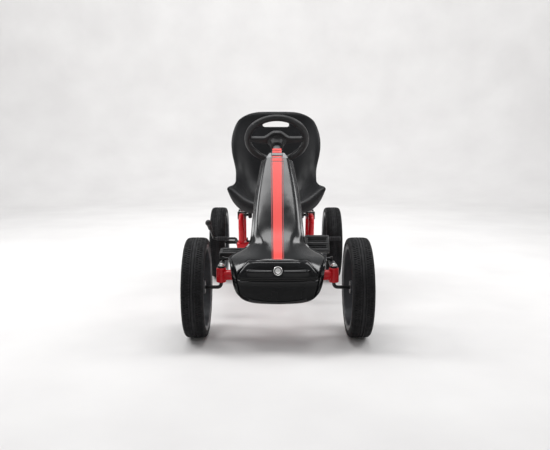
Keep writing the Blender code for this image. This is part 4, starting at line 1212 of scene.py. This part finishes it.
def add_front_beam():
    inner, outer = STUB_TUBE_X
    pieces = [cross_tube(-outer, outer, (0, 0, BEAM_Z), BEAM_R)]
    profile = ring_profile(STUB_R + 0.0008, SLEEVE_R, *SLEEVE_Z, 0.0012)
    for side in (-1, 1):
        sleeve = upright("sleeve", profile, 40)
        pieces.append(turned_to(sleeve, Matrix.Translation(at(side * KINGPIN_X, 0, 0))))
        ends = sorted((side * inner, side * outer))
        pieces.append(cross_tube(*ends, (0, 0, STUB_TUBE_Z), STUB_TUBE_R, 32, 0.0012))
        pieces.append(weld(at(side * (inner + 0.001), 0, BEAM_Z), (1, 0, 0), BEAM_R))
        seam = at(side * (KINGPIN_X - SLEEVE_R + 0.004), 0, STUB_TUBE_Z)
        pieces.append(weld(seam, (1, 0, 0), STUB_TUBE_R - 0.001))
    mesh = together("beam", pieces)
    add_piece("beam_and_sleeves", mesh, "red_paint", "frame", "front_beam")


def add_knuckles():
    """Each stub axle with its domed kingpin nut and washer."""
    low, top = 0.2009, 0.205
    for name, side in SIDES:
        end = side * (0.247 - KINGPIN_X)
        spot = at(side * KINGPIN_X, 0, 0)
        path = rounded_path([(0, 0, 0.2068), (0, 0, WHEEL_R), (end, 0, WHEEL_R)], 0.013)
        rod = tube("rod", path, STUB_R, 24, 0.0006)
        place = Matrix.Translation(spot)
        knuckle = f"knuckle_{name}"
        add_piece(f"stub_axle_{name}", rod, "black_paint", knuckle, knuckle, place)
        hexagon = prism("hexagon", arc(0.008, 0, 300, 60), low + 0.0008, top, "XY")
        dome = [(0, low + 0.0012), (0.0062, low + 0.0012), (0.0062, top + 0.0004), (0.0058, top + 0.0016)]
        dome += [(0.0044, top + 0.0026), (0.0022, top + 0.0031), (0, top + 0.0032)]
        washer = [(0.0052, low), (0.009, low), (0.0092, low + 0.0004)]
        washer += [(0.009, low + 0.0009), (0.0052, low + 0.0009)]
        nut = together("nut", [hexagon, upright("dome", dome, 32), upright("washer", washer, 32)])
        add_piece(f"domed_nut_{name}", nut, "zinc", knuckle, f"kingpin_nut_{name}", place, 0.0004)


def add_spine():
    front, rear = at(0, BEAM_R + 0.0004, SPINE_Z), at(0, CROSS_Y - CROSS_R - 0.0004, SPINE_Z)
    crank = at(*CRANK)
    bore_r = 0.0134
    crank_shell = lathe("shell", ring_profile(bore_r, 0.018, -0.024, 0.024, 0.0008), 48)
    crank_shell = turned_to(crank_shell, Matrix.Translation(crank))
    bore = [(0, -0.03), (bore_r, -0.03), (bore_r, 0.03), (0, 0.03)]
    bore = turned_to(lathe("bore", bore, 48), Matrix.Translation(crank))
    pieces = [cut(tube("spine", [front, rear], SPINE_R, 36), bore), crank_shell]
    pieces.append(weld(front + Vector((0, 0.0012, 0)), (0, 1, 0), SPINE_R - 0.0006))
    pieces.append(weld(rear - Vector((0, 0.0012, 0)), (0, 1, 0), SPINE_R - 0.0006))
    mesh = together("spine", pieces)
    add_piece("spine_and_crank_shell", mesh, "red_paint", "frame", "spine_tube")


def add_strut():
    """The upright that carries the upper column bush, with its welded foot and housing ring."""
    place = column_frame()
    along = place.to_3x3() @ Vector((0, 0, 1))
    upper = place.to_translation() - along * UPPER_BUSH
    foot = at(0, 0.235, SPINE_Z + SPINE_R + 0.0006)
    top = upper - Vector((0, 0, 0.0135))
    ring = ring_profile(0.0094, 0.0135, -0.013, 0.013, 0.001)
    pieces = [tube("strut", [foot, top + Vector((0, 0, 0.002))], 0.009)]
    pieces.append(turned_to(lathe("ring", ring, 40), facing(upper, along)))
    pieces.append(weld(foot + Vector((0, 0, 0.001)), (0, 0, 1), 0.009))
    pieces.append(weld(top - Vector((0, 0, 0.0005)), (0, 0, 1), 0.0086, 0.0016))
    mesh = together("strut", pieces)
    add_piece("column_upright", mesh, "red_paint", "frame", "column_strut")


def add_rear_frame():
    """Cross tube, the two rails back to the axle, the seat hoops and their gussets."""
    cross = cross_tube(-0.142, 0.142, (0, CROSS_Y, CROSS_Z), CROSS_R)
    pieces = [cross]
    for side in (-1, 1):
        x = side * RAIL_X
        start, end = at(x, CROSS_Y, 0.169), at(x, WHEELBASE - 0.0195, 0.1425)
        pieces.append(tube("rail", [start, end], RAIL_R))
        along = (end - start).normalized()
        pieces.append(weld(start + along * (CROSS_R + 0.0006), along, RAIL_R))
    add_piece("rear_subframe", together("rear", pieces), "red_paint", "frame", "rear_frame")
    for name, side in SIDES:
        x = side * RAIL_X
        foot, heel = at(x, CROSS_Y, CROSS_Z + CROSS_R + 0.0042), at(x, 0.742, 0.1595)
        corners = [foot, at(x, 0.5, HOOP_TOP_Z), at(x, 0.715, HOOP_TOP_Z), heel]
        path = rounded_path(corners, 0.03, 12)
        rising = (path[1] - path[0]).normalized()
        falling = (path[-1] - path[-2]).normalized()
        hoop = [tube("hoop", path, RAIL_R)]
        hoop.append(weld(foot + rising * 0.0002, rising, RAIL_R))
        hoop.append(weld(heel - falling * 0.0006, falling, RAIL_R, 0.0016))
        low_z = CROSS_Z + CROSS_R + 0.0006
        gusset = [(foot.y - 0.007, low_z), (foot.y + 0.02, low_z), (foot.y + 0.002, low_z + 0.026)]
        gusset += [(foot.y - 0.01, low_z + 0.026)]
        hoop.append(prism("gusset", gusset, x - 0.0018, x + 0.0018))
        mesh = together("hoop", hoop)
        add_piece(f"bent_hoop_{name}", mesh, "red_paint", "frame", f"seat_hoop_{name}")


def belt_outline(front_r, rear_r, steps=36):
    """The taut loop round the two sprockets, as world (Y, Z)."""
    front, rear = at(*CRANK), at(0, WHEELBASE, WHEEL_R)
    dy, dz = rear.y - front.y, rear.z - front.z
    tilt, lean = math.atan2(dz, dy), math.acos((front_r - rear_r) / math.hypot(dy, dz))
    points = []
    for centre, radius, start, sweep in (
        (front, front_r, tilt + lean, 2 * (math.pi - lean)),
        (rear, rear_r, tilt - lean, 2 * lean),
    ):
        for i in range(steps + 1):
            a = start + sweep * i / steps
            points.append((centre.y + radius * math.cos(a), centre.z + radius * math.sin(a)))
    return points


def add_chain_guard():
    """The guard's dished outer half, with a raised border and a rib, and its plain inner half."""
    front_r, rear_r = (
        CHAIN_PITCH / 2 / math.sin(math.pi / teeth) + TOOTH_TIP for teeth in (CHAINRING_TEETH, SPROCKET_TEETH)
    )
    margins = (0.009, 0.0115, 0.004, -0.008)
    hollow, cover, border, rib = (belt_outline(front_r + out, rear_r + out) for out in margins)
    spots = (
        (CRANK, 0.014),
        ((0, WHEELBASE, WHEEL_R), 0.012),
        ((0, CROSS_Y, CROSS_Z), CROSS_R + 0.0012),
        (BRAKE_PIVOT, 0.0075),
    )

    def passages():
        return [cross_tube(0.02, 0.07, spot, radius, 40, 0) for spot, radius in spots]

    plate = prism("plate", cover, 0.0505, 0.0545)
    wall = cut(prism("wall", cover, 0.03, 0.051), prism("hollow", hollow, 0.02, 0.06))
    dish = prism("dish", border, 0.053, 0.06)
    outer = cut(joined(plate, wall), dish, *passages())
    black, body = "moulded_black", "frame"
    add_piece("guard_outer_half", outer, black, body, "chain_guard_outer", None, 0.0007)
    inside = belt_outline(front_r - 0.011, rear_r - 0.011)
    ridge = cut(prism("ridge", rib, 0.0526, 0.054), prism("hollow", inside, 0, 0.1))
    ridge = cut(ridge, *passages())
    add_piece("guard_ridge", ridge, black, body, None, None, 0.0005)
    inner = cut(prism("inner", cover, 0.0271, 0.0296), *passages())
    add_piece("guard_inner_half", inner, black, body, "chain_guard_inner", None, 0.0007)


def add_crankshaft():
    """The shaft with its two forged arms, pedal spindles and end nuts."""
    arm_x, pedal_end = 0.082, PEDAL_X + PEDAL_SIZE[0] / 2 - 0.004
    pieces = [tube("shaft", [(-arm_x, 0, 0), (arm_x, 0, 0)], CRANK_AXLE_R, 32)]
    for side in (1, -1):
        outline = arc(0.012, 90, 270, 15) + arc(0.009, -90, 90, 15, (CRANK_ARM, 0))
        turn = Matrix.Rotation(0 if side > 0 else math.pi, 4, "X")
        arm = turned_to(prism("arm", outline, side * arm_x - 0.004, side * arm_x + 0.004), turn)
        back = side * CRANK_ARM
        ends = [(side * arm_x, back, 0), (side * pedal_end, back, 0)]
        pieces += [arm, tube("spindle", ends, 0.005, 24, 0.0008)]
        near, far = side * (arm_x + 0.0035), side * (arm_x + 0.0075)
        pieces.append(tube("nut", [(near, 0, 0), (far, 0, 0)], 0.0085, 6, 0.0006))
    mesh = together("crank", pieces)
    place = Matrix.Translation(at(*CRANK))
    add_piece("crank_and_arms", mesh, "black_paint", "crank", "crankshaft", place, 0.0008)


def add_axle():
    middle, neck, end, step = AXLE_R, 0.0055, 0.247, 0.196
    half = [(0, end), (neck - 0.001, end), (neck, end - 0.001), (neck, step), (middle - 0.0005, step)]
    half += [(middle, step - 0.0005)]
    profile = half + [(radius, -x) for radius, x in reversed(half)]
    place = Matrix.Translation(at(0, WHEELBASE, WHEEL_R))
    add_piece("turned_axle", lathe("axle", profile, 32), "black_paint", "rear_axle", "rear_axle", place)


# ---------------------------------------------------------------- brake and seat fittings


def add_brake():
    """The cranked bar, its ribbed grip with a ball end, and a rubber sleeve ahead of each rear tyre."""
    pad = [b - a for a, b in zip(BRAKE_PIVOT, BRAKE_PAD)]
    path = [
        (-0.2435, -0.084, 0.112),
        (-0.238, 0.012, 0.056),
        (-0.235, pad[1], pad[2]),
        (-0.152, pad[1], pad[2]),
        (-0.137, 0.0, 0.0),
        (0.137, 0.0, 0.0),
        (0.152, pad[1], pad[2]),
        (0.245, pad[1], pad[2]),
    ]
    place = Matrix.Translation(at(*BRAKE_PIVOT))
    bar = tube("bar", rounded_path(path, 0.008, 8), BRAKE_ROD_R, 24, 0.0008)
    add_piece("bent_brake_bar", bar, "black_paint", "brake", "brake_bar", place)

    start, end = Vector(path[0]), Vector(path[1])
    along = (start - end).normalized()
    profile = [(0.0052, -0.052), (0.007, -0.052), (0.008, -0.05)]
    for i in range(9):
        low = -0.047 + 0.0045 * i
        profile += [(0.008, low), (0.0073, low + 0.0008), (0.0073, low + 0.0016), (0.008, low + 0.0024)]
    profile += [(0.0072, -0.005)]
    ball, middle = 0.0112, 0.0026
    profile += arc(ball, -42, 89, 12, (0, middle))
    profile += [(0.0, middle + ball), (0.0, 0.001), (0.0052, 0.001)]
    grip = turned_to(lathe("grip", profile, 36), facing(start, along))
    add_piece("ball_end_grip", grip, "moulded_black", "brake", "brake_grip", place)

    bore, outer = BRAKE_ROD_R + 0.0003, 0.008
    for name, low, high in (("left", 0.202, 0.2445), ("right", -0.224, -0.182)):
        grooves, count = [], 5
        for i in range(count):
            x = blend(low, high, (i + 1) / (count + 1))
            grooves += [(outer, x - 0.0012), (outer - 0.0008, x - 0.0006)]
            grooves += [(outer - 0.0008, x + 0.0006), (outer, x + 0.0012)]
        profile = ring_profile(bore, outer, low, high, 0.001, grooves)
        sleeve = turned_to(lathe("pad", profile, 32), Matrix.Translation((0, pad[1], pad[2])))
        node = f"brake_pad_{name}"
        add_piece(f"rubber_brake_sleeve_{name}", sleeve, "tyre_foam", "brake", node, place)


def add_seat_knobs():
    """A lobed hand knob on the inner side of each seat hoop."""
    profile = [(0.005, 0.0), (0.005, 0.006), (0.0115, 0.0072), (0.0134, 0.009), (0.014, 0.011)]
    profile += [(0.014, 0.016), (0.013, 0.0182), (0.01, 0.02), (0.006, 0.0207), (0.0, 0.021)]
    for name, side in SIDES:
        rows = []
        for a in turns(72):
            row = [(0.0, 0.0, 0.0)]
            for radius, x in profile:
                lobe = 1 - 0.1 * smooth_step(0.009, 0.0135, radius) * (0.5 - 0.5 * math.cos(6 * a))
                row.append(spun(x, radius * lobe, a))
            rows.append(row)
        mesh = skin("knob", rows, along=True)
        turn = Matrix.Rotation(math.pi if side > 0 else 0, 4, "Z")
        spot = at(side * (RAIL_X - RAIL_R - 0.0051), SEAT_BAR_Y[1], HOOP_TOP_Z - 0.0055)
        mesh.transform(Matrix.Translation(spot) @ turn)
        add_piece(f"lobed_knob_{name}", mesh, "moulded_black", "seat", f"seat_knob_{name}")


# ---------------------------------------------------------------- what is carried over

# CAD nodes that are shown with their own shape, edges rounded: their finish and how much rounding
ROUNDED_NODES = {
    "column_bracket": ("red_paint", 0.0012),
    "brake_bracket": ("red_paint", 0.0006),
    "column_bush": ("moulded_black", 0.0005),
    "crank_bush": ("moulded_black", 0.0005),
    "axle_bearing": ("moulded_black", 0.0012),
    "fairing_stay": ("black_paint", 0.0008),
    "steering_arm": ("black_paint", 0.0006),
    "track_rod": ("black_paint", 0.0005),
    "seat_carrier": ("black_paint", 0.0007),
    "chainring": ("chain_steel", 0.0003),
    "axle_sprocket": ("chain_steel", 0.0003),
    "chain": ("chain_steel", 0.0006),
}
PLACE_ENDINGS = ("", "_left", "_right", "_upper", "_lower")


def add_rounded_nodes():
    """A whole-faced copy of each of those nodes, with its sharp edges rounded."""
    for kind, (finish, soften) in ROUNDED_NODES.items():
        for node in (kind + ending for ending in PLACE_ENDINGS):
            source = frame["nodes"].get(node)
            if source is None:
                continue
            bm = bmesh.new()
            bm.from_mesh(source.data)
            bmesh.ops.remove_doubles(bm, verts=bm.verts, dist=1e-5)
            bmesh.ops.dissolve_limit(bm, angle_limit=math.radians(1), verts=bm.verts, edges=bm.edges)
            mesh = finish_mesh(bm, node)
            add_piece(f"finished_{node}", mesh, finish, source["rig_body"], node, None, soften)


def dress_frame_nodes():
    """Gives each CAD node that still shows the detailed material of its slot."""
    slots = {}
    for entry in frame["record"].get("materials", []):
        slots[entry["slot"]] = MATERIALS.get(entry["slot"])
    for node in frame["nodes"].values():
        for place in node.material_slots:
            base = place.material.name.split(".")[0] if place.material else ""
            if slots.get(base) is not None:
                place.material = slots[base]


# ---------------------------------------------------------------- studio


def add_stage():
    """A round paper floor that curves up into a wall on all sides."""
    flat, bend, top = 3.4, 1.4, 3.2
    profile = [(0.0, 0.0), (flat, 0.0)]
    profile += arc(bend, -84, 0, 6, (flat, bend))
    profile += [(flat + bend, top)]
    rows = [[(r * math.cos(a), r * math.sin(a), z) for r, z in profile] for a in turns(96)]
    mesh = skin("stage", rows, along=True)
    mesh.materials.append(floor_paper())
    obj = linked("stage", mesh)
    obj.location.z = -0.0005


def add_lamp(name, spot, target, size, power, colour=(1, 1, 1)):
    lamp = bpy.data.lights.new(name, "AREA")
    lamp.shape = "RECTANGLE"
    lamp.size, lamp.size_y = size
    lamp.energy = power
    lamp.color = colour
    obj = linked(name, lamp)
    obj.location = spot
    obj.visible_camera = False
    obj.rotation_euler = (Vector(target) - Vector(spot)).to_track_quat("-Z", "Y").to_euler()


def add_light():
    world = bpy.data.worlds.new("studio")
    bpy.context.scene.world = world
    world.use_nodes = True
    background = world.node_tree.nodes["Background"]
    background.inputs["Color"].default_value = (0.97, 0.98, 1.0, 1.0)
    background.inputs["Strength"].default_value = 0.6
    add_lamp("overhead", (-0.2, -0.05, 2.6), (-0.2, -0.0501, 0.2), (2.2, 0.7), 34)
    add_lamp("side_left", (-1.75, 0.15, 1.8), (0, 0, 0.35), (0.8, 1.1), 25)
    add_lamp("side_right", (1.75, 0.15, 1.8), (0, 0, 0.35), (0.8, 1.1), 21)
    add_lamp("backdrop", (0, 1.5, 3.0), (0, 4.8, 1.3), (3.0, 0.6), 86)


def add_camera():
    lens = bpy.data.cameras.new("camera")
    lens.lens = 41.76
    lens.sensor_width = 36
    lens.shift_x = 0.0062
    lens.shift_y = -0.0109
    camera = linked("camera", lens)
    camera.location = (-0.0167, -2.1466, 0.5576)
    camera.rotation_euler = (math.radians(90) - 0.1271, 0, 0)
    bpy.context.scene.camera = camera
    bpy.context.scene.view_settings.view_transform = "Standard"


# ---------------------------------------------------------------- the whole kart

add_wheels()
FAIRING = add_fairing()
PANEL = add_nose_panel(FAIRING)
add_nose_beads(FAIRING)
add_stripe(FAIRING)
add_medallion(PANEL)
add_steering()
add_collar()
add_seat()
add_pedals()
add_front_beam()
add_knuckles()
add_spine()
add_strut()
add_rear_frame()
add_chain_guard()
add_crankshaft()
add_axle()
add_brake()
add_seat_knobs()
add_rounded_nodes()
dress_frame_nodes()
add_stage()
add_light()
add_camera()
